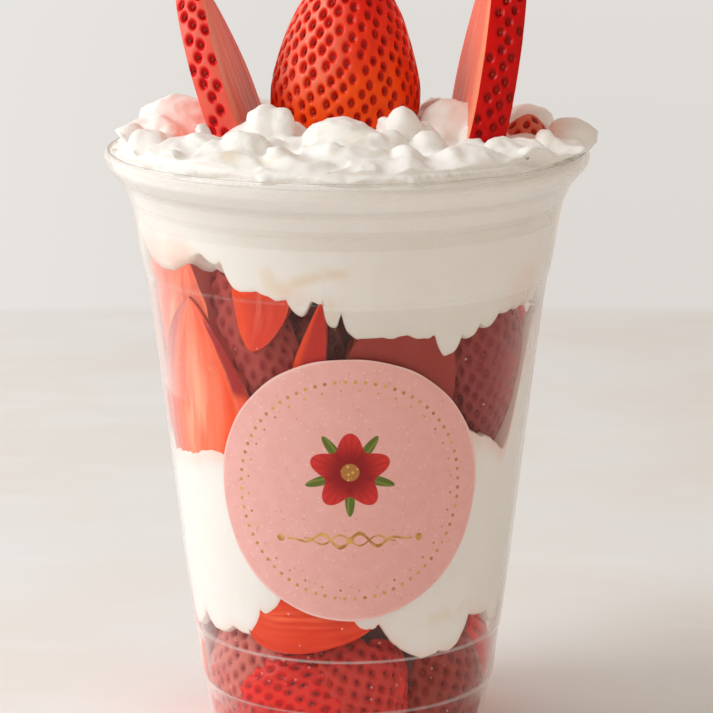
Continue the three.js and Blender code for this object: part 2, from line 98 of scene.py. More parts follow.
# Lobes of cream hanging down the wall: angle, half width, lowest height, height at the sides,
# and how square the lobe is.
TOP_CREAM_LOBES = (
    (-52, 16, 109.8, 113.5, 3),
    (-38, 8, 106.5, 112, 2),
    (-27.5, 8.5, 101.4, 109, 4),
    (-20.5, 6.5, 100.7, 103, 3),
    (-12.9, 3.8, 97.4, 101.5, 1.8),
    (-7.4, 4, 99.9, 101.5, 2),
    (-4.1, 2.2, 95.8, 98, 4),
    (9.5, 12.2, 92.9, 104.5, 7),
    (22, 8, 92.2, 98, 3),
    (30.6, 5.6, 88.4, 95, 2.6),
    (37.5, 4.4, 91, 94, 2),
    (44.5, 5.4, 92.8, 96, 2),
    (51.5, 5.4, 95, 98, 2),
    (59, 7, 97.4, 101, 2),
)
MIDDLE_CREAM_LOBES = (
    (-74, 11, 26, 31, 2),
    (-54, 9.5, 27.7, 30.6, 2.4),
    (-41, 9, 29.1, 34, 3),
    (-30, 7, 34.3, 38, 2),
    (7, 6.5, 32, 37, 3),
    (31, 21, 24.9, 34.5, 2.2),
    (39, 9.6, 25, 30.8, 2.4),
    (57, 12, 31.1, 34, 3),
)
TOP_CREAM_EDGE = dict(shoulder=108, low=93, high=103, seed=11)
MIDDLE_CREAM_EDGE = dict(shoulder=38.5, low=26, high=34, seed=23)
# Just inside the wall the cream comes lower than its edge there: angle, half width and drop.
TOP_CREAM_TUCKS = (
    (-62, 20, 6),
    (-17.5, 6, 1.5),
    (-3, 6, 1.5),
    (60, 9, 3),
)
PLAIN_TUCK = 0.8
TUCK_RING = 0.955
TUCK_STEPS = 7
FACE_SHARES = (0, 0.3, 0.55, 0.72, 0.84, 0.91)
# Round the back, where little is seen, the lobes follow a seeded rule.
BACK_LOBES = dict(
    start=68, end=276, spacing=(9.75, 16.25), half_width=(7.8, 11.05), rise=2, squareness=2.5,
)
MIDDLE_CREAM_RIM = (
    (-82, 61.8),
    (-62, 64.3),
    (-46, 66.6),
    (0, 70.5),
    (38, 72),
    (48, 69),
    (60, 65.4),
    (74, 91),
    (84, 91),
    (98, 67),
    (135, 70),
    (180, 64.5),
    (230, 69.5),
)
TOP_CREAM_UNDERSIDE = 99
MIDDLE_CREAM_TOP = 67
MIDDLE_CREAM_UNDERSIDE = 33

# Spoonfuls of cream standing up above the lip: across, depth, radius and height of the top.
DOLLOPS = (
    (0, -28, 12.5, 133.6),
    (-15, -15, 11, 134.6),
    (10.8, -15, 8.5, 133.6),
    (15.5, -23, 6, 130.6),
    (-10.7, -24.5, 6, 130.9),
    (22, 15, 15, 133),
    (36, 24, 12, 129.6),
    (46, 1, 8.5, 129.4),
    (39.5, -10, 6.5, 128.9),
    (-34.5, 10, 8.5, 132.6),
    (-40.5, 6, 8, 130),
    (-43.5, -4, 7, 128.6),
    (-31, -22, 11, 130),
    (-22, -33, 10, 129.6),
    (22, -32, 10, 129.8),
    (32, -22, 9, 130),
    (10, -39, 7, 128.4),
    (-9, -38, 8, 128.6),
    (-4, 26, 14, 132.5),
    (-22, 30, 13, 131.5),
    (8, 38, 11, 129.5),
)
CREAM_BED = 125.4
RIM_SPREAD = 47
OVERHANG = dict(angle=84, spread=34, reach=4)
OVERHANG_LIFT = 0.5
EDGE_ROUND = 1.6
PEAK_BOTTOM = 119
BED_SHARE = 0.62  # of the spoonfuls' height that their plain bed has
# Peaks and folds that stand out: x, y, z, half sizes across, deep and high, and lean.
PEAKS = (
    (-43, -8, 126.2, 3.8, 3.8, 2.9, 0),
    (-45, -12, 125.6, 2.6, 3.0, 1.9, 10),
    (-39, -14, 126.8, 3.8, 3.6, 2.9, -12),
    (-35, 12, 126.5, 8.0, 7.5, 5.6, 0),
    (-37, 4, 125.6, 5.0, 5.0, 3.4, 8),
    (-28, -22, 126.0, 5.5, 5.0, 3.6, -10),
    (-25.5, -29, 125.6, 3.6, 4.0, 3.4, 24),
    (-15.9, -18, 129.8, 3.9, 4.6, 4.6, 6),
    (-12.4, -19, 129.4, 2.6, 4.0, 4.8, -10),
    (-19.6, -30, 127.2, 4.8, 4.2, 3.5, 12),
    (-12.4, -36, 125.6, 5.4, 3.6, 2.8, -6),
    (-5.0, -37, 125.2, 4.2, 3.6, 2.2, 14),
    (-0.6, -24, 127.6, 7.8, 6.6, 5.7, 3),
    (10.7, -20, 129.0, 3.6, 4.0, 5.2, 3),
    (8.6, -27, 127.4, 3.0, 3.4, 3.4, 26),
    (15.6, -26, 127.2, 3.4, 3.6, 3.2, -24),
    (12.0, -34, 125.8, 3.8, 3.8, 2.9, 18),
    (4.0, -40, 125.2, 4.4, 3.0, 2.2, -10),
    (21.0, -5, 128.4, 6.8, 4.0, 6.4, 7),
    (27.0, -8, 126.4, 4.0, 3.6, 3.8, 20),
    (20.4, -34, 126.0, 3.4, 3.4, 3.3, -18),
    (25.6, -34, 125.3, 3.4, 3.2, 2.6, 14),
    (29.4, -25, 125.0, 4.6, 4.2, 2.9, -4),
    (25.0, -20, 125.8, 3.4, 3.4, 3.0, 12),
    (35.4, -20, 124.8, 3.6, 3.6, 2.2, 10),
    (39.0, -12, 125.8, 1.6, 2.6, 2.7, 10),
    (45.4, 0, 126.4, 5.0, 6.5, 3.3, 10),
    (48.4, 0, 125.2, 2.7, 4.4, 1.9, 16),
    (44.5, -9, 125.0, 3.4, 4.2, 2.2, -8),
    (37.6, 17, 126.0, 5.6, 5.0, 3.5, 0),
)

# Small lumps scattered over the spoonfuls, each number between its two values.
LUMP_SPREAD = 45.5
LUMP_STRAY = (-2, 2)
LUMP_SIZE = (2.0, 4.2)
LUMP_THICKNESS = (0.8, 1.5)
LUMP_LIFT = (-1.6, 0.7)
LUMP_LEAN = (15, 75)
# Relief pushed out along the spoonfuls: size of its swells, depth and seed.
PEAK_RELIEF = ((10.0, 1.3, 2), (4.5, 0.4, 5), (1.6, 0.14, 9))

# Painted shade along the creases where one spoonful was laid over another, seen through the
# wall: angle and height of the places each runs through, its half width in millimetres, and its
# strength.
TOP_CREAM_CREASE_SHADE = (
    (((-21.6, 105.2), (-20.6, 102.6), (-16.6, 102.2)), 2.3, 0.5),
    (((-14.1, 103.6), (-9.8, 104.4), (-5.8, 105.3), (-0.8, 105.6)), 1.5, 0.7),
    (((-4.7, 99.6), (-4, 96.6)), 1.9, 0.4),
)
MIDDLE_CREAM_CREASE_SHADE = (
    (((31, 32), (39.6, 33), (49.6, 34.4)), 0.9, 0.5),
)

# The label's print: gold dots, as radius of the ring, number and size, and the heights of the
# blossom and the flourish above its middle.
DOT_RINGS = ((22.6, 72, 0.34), (20.9, 36, 0.22))
BLOOM_UP = 4.0
PETALS = 5
FLOURISH_UP = -10.2
FLOURISH_WAVE = 7.5
FLOURISH_BEADS = (-13.8, 0.0, 13.8)

# The lights stand a distance in metres from a target, and the world's colours are what lights
# the cup from above, and what the camera sees low down and at the left, where the air is
# painted lighter, as the key light stands there.
LIGHT_TARGET = (0, 0, 0.08)
LIGHT_DISTANCE = 1.2
LIGHT_COLOUR = (0.92, 0.97, 1.0)
KEY_SIZE = 0.75
SIDE_SIZE = 0.9
SKY_TOP = (0.48, 0.43, 0.375)
HORIZON = (0.725, 0.69, 0.655)
LEFT_LIT_AIR = (0.84, 0.815, 0.79)

# ---------------------------------------------------------------- the strawberries' places

# Against the wall. roll 0 has the tip up, depth is how far the long axis lies in from the wall,
# spin 180 turns the skin of a half to the wall, and a larger point makes the tip more pointed.
# gap is how far the piece stays from the plastic: pieces with a smaller one lie in front.
# skin, flesh, core, left and right name tones below.
# The value for the ridges sets their painted sheen, and the one for the dimples the painted shade
# in the pits.
UPPER_BERRIES = (
    dict(cut="half", angle=-53, height=78, length=40, width=32, depth=2.2, roll=4, point=0.85,
         gap=0, skin="wet", flesh="salmon", core="pale", left="mauve", right="flame",
         rim=(1, 0.52, 0.93)),
    dict(cut="half", angle=-41, height=86, length=41, width=27, depth=14, roll=3, spin=180,
         gap=1.2, press=0.35, skin="rose", flesh="coral", core="pale", ridge_and_sheen=0.08),
    dict(cut="half", angle=-63, height=93, length=33, width=27, depth=3, roll=26,
         gap=0.7, skin="wet", flesh="peach", core="cream"),
    dict(cut="half", angle=-25, height=98, length=19, width=11.5, depth=2, roll=194,
         gap=0.15, skin="wet", flesh="scarlet", core="coral", left="scarlet", right="flame"),
    dict(cut="whole", angle=-20, height=82, length=36, width=25, depth=15.5, roll=20,
         gap=2.2, press=0.6, skin="plum", flesh="coral", core="pale", ridge_and_sheen=0.08),
    dict(cut="half", angle=-11.7, height=83.7, length=34, width=7, depth=1.6, roll=12,
         point=0.8, gap=0, skin="bright", flesh="bright", core="bright", left="flame"),
    dict(cut="half", angle=17.5, height=79.5, length=33, width=21.5, depth=3, roll=174,
         gap=0.2, skin="brick", flesh="brick", core="brick"),
    dict(cut="half", angle=57, height=80, length=36, width=22, depth=10, roll=177, spin=180,
         gap=0, press=0.6, skin="dusk", flesh="coral", core="pale", ridge_and_sheen=0.06, juice=(0.25, 0.7)),
)
LOWER_BERRIES = (
    dict(cut="half", angle=-55, height=16, length=34, width=27, depth=12, roll=20, spin=180,
         gap=0, press=0.6, skin="pink", flesh="coral", core="pale", ridge_and_sheen=0.2),
    dict(cut="half", angle=-14, height=33.5, length=29, width=15, depth=1.8, roll=86,
         gap=0, skin="wet", flesh="ember", core="salmon", left="ember", right="ember",
         rim=(-1, 0.05, 0.42)),
    dict(cut="half", angle=-17, height=13, length=35.5, width=27, depth=11.5, roll=70, spin=180,
         gap=0, press=0.6, skin="ripe", flesh="coral", core="pale", ridge_and_sheen=0.10, pit_shading=0.8),
    dict(cut="half", angle=8, height=14, length=32, width=21, depth=10.5, roll=165, spin=180,
         gap=0.15, skin="crimson", flesh="coral", core="pale", ridge_and_sheen=0.08),
    dict(cut="half", angle=61, height=16, length=34, width=25, depth=12.5, roll=-15, spin=180,
         gap=0, skin="brick", flesh="coral", core="pale", ridge_and_sheen=0.06),
)
BACK_BERRIES = dict(
    angles=(104, 135, 168, 201, 234, 262), width=(24, 30), length=(32, 40), stray=3, roll=35,
    skin_depth=0.45, face_depth=2.4,
)
UPPER_BACK = dict(height=83, seed=5)
LOWER_BACK = dict(height=17, seed=9)
CENTRE_BERRY = dict(length=43, width=30, at=(-1.2, 2, 118.2), lean=2.8)
# The painted sheen on the ridges between pits is strong on the left slice, which faces the key
# light, and absent on the right one.
SLICES = {
    "slice_left": dict(
        length=41, width=28, point=0.75, thickness=5.8, at=(-18.4, 0, 118), lean=-19.5, yaw=-8,
        skin=(0.90, 0.020, 0.020), left=(0.97, 0.30, 0.17), ridge_and_sheen=0.5,
    ),
    "slice_right": dict(
        length=44.5, width=28, thickness=7.2, at=(24.4, 0, 118), lean=10.5, yaw=7.5,
        skin=(0.66, 0.002, 0.001), left=(1.0, 0.34, 0.15), ridge_and_sheen=0.0,
    ),
}
REAR_BERRY = dict(length=20, width=15, at=(34.6, 7, 109.5), lean=8)

# Linear colours of strawberry skin and flesh.
TONES = {
    "ripe": (0.86, 0.014, 0.010),
    "wet": (0.42, 0.006, 0.004),
    "bright": (0.62, 0.022, 0.010),
    "rose": (0.47, 0.060, 0.052),
    "pink": (0.68, 0.165, 0.140),
    "plum": (0.26, 0.036, 0.032),
    "dusk": (0.34, 0.036, 0.036),
    "brick": (0.38, 0.040, 0.026),
    "crimson": (0.70, 0.034, 0.025),
    "flame": (1.0, 0.080, 0.006),
    "salmon": (1.0, 0.170, 0.066),
    "peach": (0.95, 0.150, 0.065),
    "mauve": (0.66, 0.140, 0.130),
    "coral": (0.88, 0.130, 0.070),
    "ember": (0.84, 0.050, 0.012),
    "scarlet": (0.84, 0.050, 0.016),
    "pale": (1.0, 0.420, 0.250),
    "cream": (0.98, 0.400, 0.250),
}

# The whole berry's skin from its stalk end up to its tip, and what both slices share.
CENTRE_TONES = ((1.0, 0.090, 0.003), (0.95, 0.046, 0.010), (0.80, 0.003, 0.002))
SLICE_TONES = dict(flesh=(0.95, 0.13, 0.07), core=(1.0, 0.23, 0.13), right=(0.86, 0.10, 0.06))
REAR_SKIN = (0.72, 0.17, 0.09)

# Outline of a strawberry: shares of its length and of its mesh's rings below the widest place,
# and how full its tip and its shoulder are.
SHOULDER_SHARE = 0.38
SHOULDER_SHARE_OF_RINGS = 0.36
TIP_BULGE = 1.6
PLAIN_POINT = 0.6
SHOULDER_BULGE = 2.6
SHOULDER_ROUND = 0.5
GOLDEN_ANGLE = math.pi * (3 - math.sqrt(5))
# Columns and rings of the berries' meshes.
FACES_BACK = (54, 35)
FACES_SKIN = (136, 96)
FACES_CUT = (120, 84)
FACES_CENTRE = (320, 208)
FACES_SLICE = (240, 200)
FACES_REAR = (72, 48)


# ---------------------------------------------------------------- arithmetic


def mix(a, b, share):
    return a + (b - a) * share


def smooth(low, high, value):
    share = np.clip((np.asarray(value, dtype=float) - low) / (high - low), 0, 1)
    return share * share * (3 - 2 * share)


def turn_between(a, b):
    """Degrees from b to a, between -180 and 180."""
    return (a - b + 180) % 360 - 180


def seeded_draws(seed):
    """Numbers between 0 and 1 from a seed, the same on every run."""
    state = seed
    while True:
        state = (state * 1664525 + 1013904223) % 2**32
        yield state / 2**32


def field(places, size, seed=0):
    """Smooth noise between about -1 and 1 at places, with swells of a size."""
    shift = Vector((seed * 17.31, seed * 5.17, seed * 9.73))
    return np.array([noise.noise(Vector(place) / size + shift) for place in places])


def inset(outline, thickness):
    """The outline moved inwards by a thickness, square to itself."""
    moved = []
    for i, (radius, height) in enumerate(outline):
        r0, h0 = outline[max(i - 1, 0)]
        r1, h1 = outline[min(i + 1, len(outline) - 1)]
        length = math.hypot(r1 - r0, h1 - h0)
        across, up = thickness * (h1 - h0) / length, thickness * (r1 - r0) / length
        moved.append((radius - across, height + up))
    return moved


CUP_INSIDE = inset(CUP_OUTSIDE, WALL)
INSIDE_TABLE = np.array([(BASE_RADIUS - WALL, FLOOR), *CUP_INSIDE, LIP[-1]])
OUTSIDE_TABLE = np.array([(BASE_RADIUS, 0), *CUP_OUTSIDE])


def inside_radius(height):
    return np.interp(height, INSIDE_TABLE[:, 1], INSIDE_TABLE[:, 0])


def outside_radius(height):
    return np.interp(height, OUTSIDE_TABLE[:, 1], OUTSIDE_TABLE[:, 0])


def softened(outline, rounds):
    """The outline with its corners cut off again and again, as a moulded shape's are."""
    for _ in range(rounds):
        cut = [outline[0]]
        for (r0, h0), (r1, h1) in zip(outline, outline[1:]):
            cut += [(mix(r0, r1, 0.25), mix(h0, h1, 0.25)), (mix(r0, r1, 0.75), mix(h0, h1, 0.75))]
        outline = cut + [outline[-1]]
    return outline


def angles_of(places):
    """Angle round the cup of each place, in radians."""
    return np.arctan2(places[:, 0], -places[:, 1])


def around(radius, angle, height):
    """Places at a radius and an angle round the cup, in radians."""
    return np.column_stack([radius * np.sin(angle), -radius * np.cos(angle), height])


def turned(degrees, axis):
    return Matrix.Rotation(math.radians(degrees), 4, axis)


# ---------------------------------------------------------------- settings


def colour_setting(name, description, value):
    return bpy.props.FloatVectorProperty(
        name=name, description=description, subtype="COLOR", size=3, min=0, max=1, default=value,
    )


def number_setting(name, description, value, **more):
    return bpy.props.FloatProperty(name=name, description=description, default=value, **more)


def length_setting(name, description, value, **more):
    return number_setting(name, description, value, subtype="DISTANCE", unit="LENGTH", **more)


def angle_setting(name, description, degrees):
    angle = math.radians(degrees)
    return number_setting(name, description, angle, subtype="ANGLE", unit="ROTATION")


def count_setting(name, description, value, **more):
    return bpy.props.IntProperty(name=name, description=description, default=value, **more)


# ---------------------------------------------------------------- meshes


def deselect():
    if bpy.context.mode != "OBJECT":
        bpy.ops.object.mode_set(mode="OBJECT")
    bpy.ops.object.select_all(action="DESELECT")


def only(piece):
    deselect()
    piece.select_set(True)
    bpy.context.view_layer.objects.active = piece


def named(name):
    piece = bpy.context.object
    piece.name = piece.data.name = name
    return piece


def read_places(piece):
    """The mesh's corners, in millimetres."""
    places = np.empty(len(piece.data.vertices) * 3)
    piece.data.vertices.foreach_get("co", places)
    return places.reshape(-1, 3) / MM


def write_places(piece, places):
    piece.data.vertices.foreach_set("co", (np.asarray(places) * MM).ravel())
    piece.data.update()


def read_normals(piece):
    normals = np.empty(len(piece.data.vertices) * 3)
    piece.data.vertices.foreach_get("normal", normals)
    return normals.reshape(-1, 3)


def paint(piece, name, kind, values):
    """Stores values at the corners: kind is FLOAT, FLOAT_VECTOR or FLOAT_COLOR."""
    layer = piece.data.attributes.get(name) or piece.data.attributes.new(name, kind, "POINT")
    field_name = {"FLOAT": "value", "FLOAT_VECTOR": "vector", "FLOAT_COLOR": "color"}[kind]
    layer.data.foreach_set(field_name, np.asarray(values, dtype=float).ravel())


def with_alpha(colours):
    return np.column_stack([colours, np.ones(len(colours))])


def apply_modifier(piece, kind, **settings):
    only(piece)
    modifier = piece.modifiers.new(kind.title(), kind)
    for key, value in settings.items():
        setattr(modifier, key, value)
    bpy.ops.object.modifier_apply(modifier=modifier.name)


def smooth_shade(piece, sharp_above=None):
    only(piece)
    if sharp_above is None:
        bpy.ops.object.shade_smooth()
    else:
        bpy.ops.object.shade_smooth_by_angle(angle=math.radians(sharp_above))


def joined(name, pieces):
    deselect()
    for piece in pieces:
        piece.select_set(True)
    bpy.context.view_layer.objects.active = pieces[0]
    bpy.ops.object.join()
    return named(name)


def ball(name, columns, rings):
    """A ball, with the column round it and the ring up it of each of its corners."""
    deselect()
    bpy.ops.mesh.primitive_uv_sphere_add(
        segments=columns, ring_count=rings, radius=1, calc_uvs=False
    )
    piece = named(name)
    places = read_places(piece) * MM
    turn = angles_of(places)
    first = turn[np.argmax(np.hypot(places[:, 0], places[:, 1]) > 1e-4)]
    column = np.rint((turn - first) * columns / math.tau).astype(int) % columns
    ring = np.rint(np.arccos(np.clip(-places[:, 2], -1, 1)) * rings / math.pi).astype(int)
    return piece, column, ring


def turned_body(name, angles, outline_at):
    """A closed body like a lathe's whose outline changes round the axis. outline_at(angle) gives
    (radius, height) points, as many at every angle, and the first and last lie on the axis."""
    outlines = np.array([outline_at(angle) for angle in angles])
    piece, column, ring = ball(name, len(angles), outlines.shape[1] - 1)
    radius, height = outlines[column, ring].T
    write_places(piece, around(radius, np.radians(np.asarray(angles)[column]), height))
    return piece


def finish_piece(piece, nodes, materials):
    """Dresses a finished piece, and lets it stand for its nodes of the frame."""
    for material in materials:
        piece.data.materials.append(material)
    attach(piece, "root")
    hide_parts(*nodes)


# ---------------------------------------------------------------- shaders


class Wire:
    """An output socket that takes part in Python arithmetic through Math nodes."""

    def __init__(self, tree, node, output=0):
        self.tree = tree
        self.node = node
        self.socket = node.outputs[output]

    def output(self, name):
        return Wire(self.tree, self.node, name)

    def math(self, operation, *values):
        settings = {"operation": operation}
        return self.tree.node("ShaderNodeMath", settings, dict(enumerate(values)))

    def __add__(self, other):
        return self.math("ADD", self, other)

    def __sub__(self, other):
        return self.math("SUBTRACT", self, other)

    def __rsub__(self, other):
        return self.math("SUBTRACT", other, self)

    def __mul__(self, other):
        return self.math("MULTIPLY", self, other)

    def __pow__(self, other):
        return self.math("POWER", self, other)

    def __abs__(self):
        return self.alone("ABSOLUTE")

    __radd__ = __add__
    __rmul__ = __mul__

    def angle_from(self, across):
        return self.math("ARCTAN2", self, across)

    def alone(self, operation):
        """A Math node on this value alone, such as SINE."""
        return self.math(operation, self)

    def least(self, other):
        return self.math("MINIMUM", self, other)

    def most(self, other):
        return self.math("MAXIMUM", self, other)

    def step(self, low, high):
        """0 below low and 1 above high, or the other way round where high is the lower."""
        values = {"Value": self, "From Min": low, "From Max": high}
        return self.tree.node("ShaderNodeMapRange", {"interpolation_type": "SMOOTHSTEP"}, values)


# Sockets of the Principled shader, by the names used here.
SOCKETS = {
    "colour": "Base Color",
    "roughness": "Roughness",
    "metallic": "Metallic",
    "ior": "IOR",
    "specular": "Specular IOR Level",
    "coat": "Coat Weight",
    "coat_roughness": "Coat Roughness",
    "glow": "Subsurface Weight",
    "glow_radius": "Subsurface Radius",
    "glow_scale": "Subsurface Scale",
    "normal": "Normal",
}


class Tree:
    """The node tree of a new material or world."""

    def __init__(self, owner):
        owner.use_nodes = True
        self.owner = owner
        self.links = owner.node_tree.links
        self.nodes = owner.node_tree.nodes
        self.nodes.clear()

    def node(self, kind, settings=None, inputs=None, output=0):
        made = self.nodes.new(kind)
        for key, value in (settings or {}).items():
            setattr(made, key, value)
        for key, value in (inputs or {}).items():
            if isinstance(value, Wire):
                self.links.new(value.socket, made.inputs[key])
            else:
                made.inputs[key].default_value = value
        return Wire(self, made, output)

    def place(self):
        return self.node("ShaderNodeTexCoord", output="Object")

    def attribute(self, name, output="Color"):
        return self.node("ShaderNodeAttribute", {"attribute_name": name}, output=output)

    def split(self, vector):
        made = self.node("ShaderNodeSeparateXYZ", inputs={"Vector": vector})
        return made, made.output("Y"), made.output("Z")

    def join(self, x, y, z):
        return self.node("ShaderNodeCombineXYZ", inputs={"X": x, "Y": y, "Z": z})

    def noise(self, vector, size, detail):
        """Noise between 0 and 1 with swells of a size in millimetres."""
        values = {"Vector": vector, "Scale": 1 / (size * MM), "Detail": detail}
        return self.node("ShaderNodeTexNoise", {}, values)

    def cells(self, vector, size):
        """Distance to scattered points, a size in millimetres apart."""
        values = {"Vector": vector, "Scale": 1 / (size * MM)}
        return self.node("ShaderNodeTexVoronoi", {"feature": "F1"}, values)

    def blend(self, share, a, b):
        """Colour a where share is 0, and b where it is 1."""
        colours = {0: share, 6: self.colour(a), 7: self.colour(b)}
        return self.node("ShaderNodeMix", {"data_type": "RGBA"}, colours, output=2)

    def tinted(self, colour, by, share=1.0):
        """A colour multiplied by another."""
        settings = {"data_type": "RGBA", "blend_type": "MULTIPLY"}
        colours = {0: share, 6: self.colour(colour), 7: self.colour(by)}
        return self.node("ShaderNodeMix", settings, colours, output=2)

    @staticmethod
    def colour(value):
        return value if isinstance(value, Wire) else (*tuple(value)[:3], 1)

    def bump(self, height, distance, strength):
        """Relief of a distance in millimetres where height goes from 0 to 1."""
        values = {"Height": height, "Distance": distance * MM, "Strength": strength}
        return self.node("ShaderNodeBump", {}, values)

    def principled(self, **values):
        sockets = {SOCKETS[key]: value for key, value in values.items()}
        return self.node("ShaderNodeBsdfPrincipled", {}, sockets)

    def finish(self, shader, kind="ShaderNodeOutputMaterial"):
        """Joins the shader to the output, and returns the material or world."""
        output = self.nodes.new(kind)
        self.links.new(shader.socket, output.inputs["Surface"])
        return self.owner


def material_tree(name):
    return Tree(bpy.data.materials.new(name))


def clear_plastic(look):
    """Thin moulded plastic: seen through face on, with a pale gloss towards its edges, a painted
    highlight along each bead and painted shade in a line over the lip."""
    tree = material_tree("clear_plastic")
    place = tree.place()
    facing = tree.node("ShaderNodeLayerWeight", {}, {"Blend": 0.5}, "Facing")
    gloss = facing**5 * 0.96 + look.gloss
    scuff = tree.noise(place, 6, 4).step(0.5, 0.75)
    _, _, up = tree.split(place)
    veil_and_highlights = gloss + facing**4 * look.edge_veil + scuff * 0.006
    # Painted highlights: the pale shell is mixed in along each bead.
    for height, half, strength in CUP_BEADS:
        off = abs(up * (1 / MM) - height)
        veil_and_highlights = veil_and_highlights + off.step(half, 0) * (strength * look.bead_highlight)
    # Painted shade in a thin dark line over the lip.
    height, half = LIP_SHADE_LINE
    line = abs(up * (1 / MM) - height).step(half, 0)
    tint = tree.blend(scuff, look.colour, (0.95, 0.94, 0.93))
    waves = tree.noise(place, 14, 1)
    shell = tree.principled(
        colour=tree.blend(line, tint, look.line),
        roughness=scuff * 0.08 + 0.05,
        ior=1.5,
        normal=tree.bump(waves, 0.15, 0.3),
    )
    through = tree.node("ShaderNodeBsdfTransparent", {}, {"Color": (0.985, 0.98, 0.975, 1)})
    share = (veil_and_highlights + line * 0.6).least(0.9)
    return tree.finish(tree.node("ShaderNodeMixShader", {}, {0: share, 1: through, 2: shell}))


def whipped_cream(look):
    """White and faintly translucent, with painted yellowish shade in its creases and hollows, small
    specks of the same tan, and pink where juice has reached it.
    """
    tree = material_tree("whipped_cream")
    place = tree.place()
    stain = tree.attribute("stain", "Fac")
    crease_shade_and_speck = tree.attribute("crease_shade_and_speck", "Fac")
    mottle = tree.noise(place, 5, 3)
    fine = tree.noise(place, 0.9, 3)
    specks = tree.cells(place, 5.5).step(0.055, 0.03)
    pores = tree.cells(place, 2.2).step(0.11, 0.05) * mottle.step(0.5, 0.65)
    colour = tree.blend(mottle.step(0.3, 0.7) * 0.5, look.white, look.shade)
    # Painted shade in yellowish tan along the creases and in the hollows.
    colour = tree.blend((crease_shade_and_speck * (mottle * 0.8 + 0.4)).least(1), colour, look.crease_shade_and_speck)
    colour = tree.blend((stain * (mottle * 1.2 + 0.3)).least(1), colour, look.stain)
    # Small tan specks in the cream, in the same colour as the painted crease shade.
    colour = tree.blend(specks * 0.35, colour, look.crease_shade_and_speck)
    return tree.finish(tree.principled(
        colour=colour,
        roughness=0.5 + fine * 0.15,
        specular=0.35,
        glow=0.15,
        glow_radius=(1.0, 0.75, 0.5),
        glow_scale=1.2 * MM,
        normal=tree.bump(fine * 0.7 - pores * 0.8 + mottle * 0.3, 0.16, 0.6),
    ))


def strawberry_skin(look):
    """Glossy red skin: its tone, the painted shade in its pits and the pale ridges between them,
    partly pale skin and partly painted sheen, are painted on the mesh. Where it lies behind the
    plastic it carries fine bright beads of juice with painted glints."""
    tree = material_tree("strawberry_skin")
    place = tree.place()
    pit = tree.attribute("pit", "Fac")
    ridge_and_sheen = tree.attribute("ridge_and_sheen", "Fac")
    tone = tree.attribute("skin_tone")
    mottle = tree.noise(place, 4, 3)
    fine = tree.noise(place, 0.7, 2)
    colour = tree.tinted(tone, (0.72, 0.50, 0.46), mottle.step(0.35, 0.75) * 0.45)
    # Painted sheen: pale pink on the ridges between the pits, stronger where the light falls.
    colour = tree.blend(ridge_and_sheen * (mottle * 0.7 + 0.45), colour, look.ridge_and_sheen)
    # Painted shade in the pits.
    colour = tree.blend(pit.step(0.05, 0.6), colour, tree.attribute("pit_shade_tone"))
    # Painted glints: small pale dots on beads of juice.
    beads = tree.cells(place, 2.3).step(0.14, 0.06) * mottle.step(0.44, 0.58)
    colour = tree.blend(beads * tree.attribute("bead_glints", "Fac"), colour, look.bead_glint_colour)
    return tree.finish(tree.principled(
        colour=colour,
        roughness=0.24 + fine * 0.12,
        specular=0.13,
        coat=0.07,
        coat_roughness=0.1,
        glow=0.05,
        glow_radius=(1.0, 0.25, 0.12),
        glow_scale=1.0 * MM,
        normal=tree.bump(mottle * 0.6 + fine * 0.4, 0.10, 0.6),
    ))


def strawberry_flesh(look):
    """A cut face: pale in the middle, with streaks running out to a red rim under the skin."""
    tree = material_tree("strawberry_flesh")
    place = tree.place()
    across, along, _ = tree.split(tree.attribute("cut", "Vector"))
    tone = tree.attribute("flesh_tone")
    core_tone = tree.attribute("core_tone")
    side = abs(across)
    grain = tree.attribute("grain", "Vector")
    streaks = tree.node("ShaderNodeTexNoise", {}, {"Vector": grain, "Scale": 1.6, "Detail": 3.0})
    mottle = tree.noise(place, 3.5, 3)
    fine = tree.noise(place, 0.6, 2)
    core = side.step(0.36, 0.05) * along.step(0.06, 0.3) * along.step(0.88, 0.55)
    core_share = (core * (streaks.step(0.35, 0.6) * 0.8 + 0.1)).least(1)
    fibre = tree.attribute("fibre", "Fac")
    colour = tree.blend(streaks.step(0.42, 0.68) * fibre, tone, core_tone)
    colour = tree.blend(streaks.step(0.5, 0.34) * fibre, colour, tree.tinted(tone, look.streak))
    colour = tree.blend(core_share, colour, core_tone)
    colour = tree.blend(mottle.step(0.52, 0.8) * 0.2, colour, look.wet)
    rim = tree.attribute("rim", "Fac")
    edge = side + (mottle - 0.5) * 0.12
    colour = tree.blend(edge.step(0.70, 0.79) * rim, colour, look.wet)
    # Painted glints: small pale dots on beads of juice.
    beads = tree.cells(place, 3.0).step(0.10, 0.05) * mottle.step(0.45, 0.6)
    colour = tree.blend(beads * tree.attribute("bead_glints", "Fac"), colour, look.bead_glint_colour)
    return tree.finish(tree.principled(
        colour=colour,
        roughness=0.3 + fine * 0.2,
        specular=0.2,
        coat=0.06,
        coat_roughness=0.15,
        glow=0.08,
        glow_radius=(1.0, 0.35, 0.2),
        glow_scale=1.2 * MM,
        normal=tree.bump(streaks * fibre + fine * 0.3, 0.3, 0.7),
    ))


def strawberry_seed(look):
    """Small hard seeds, red brown with darker patches."""
    tree = material_tree("strawberry_seed")
    place = tree.place()
    patch = tree.noise(place, 6, 2)
    fine = tree.noise(place, 0.5, 2)
    colour = tree.blend(patch.step(0.35, 0.65), look.seed, look.seed_dark)
    return tree.finish(tree.principled(
        colour=colour, roughness=0.25 + fine * 0.2, specular=0.2, coat=0.08,
        normal=tree.bump(fine, 0.05, 0.5),
    ))


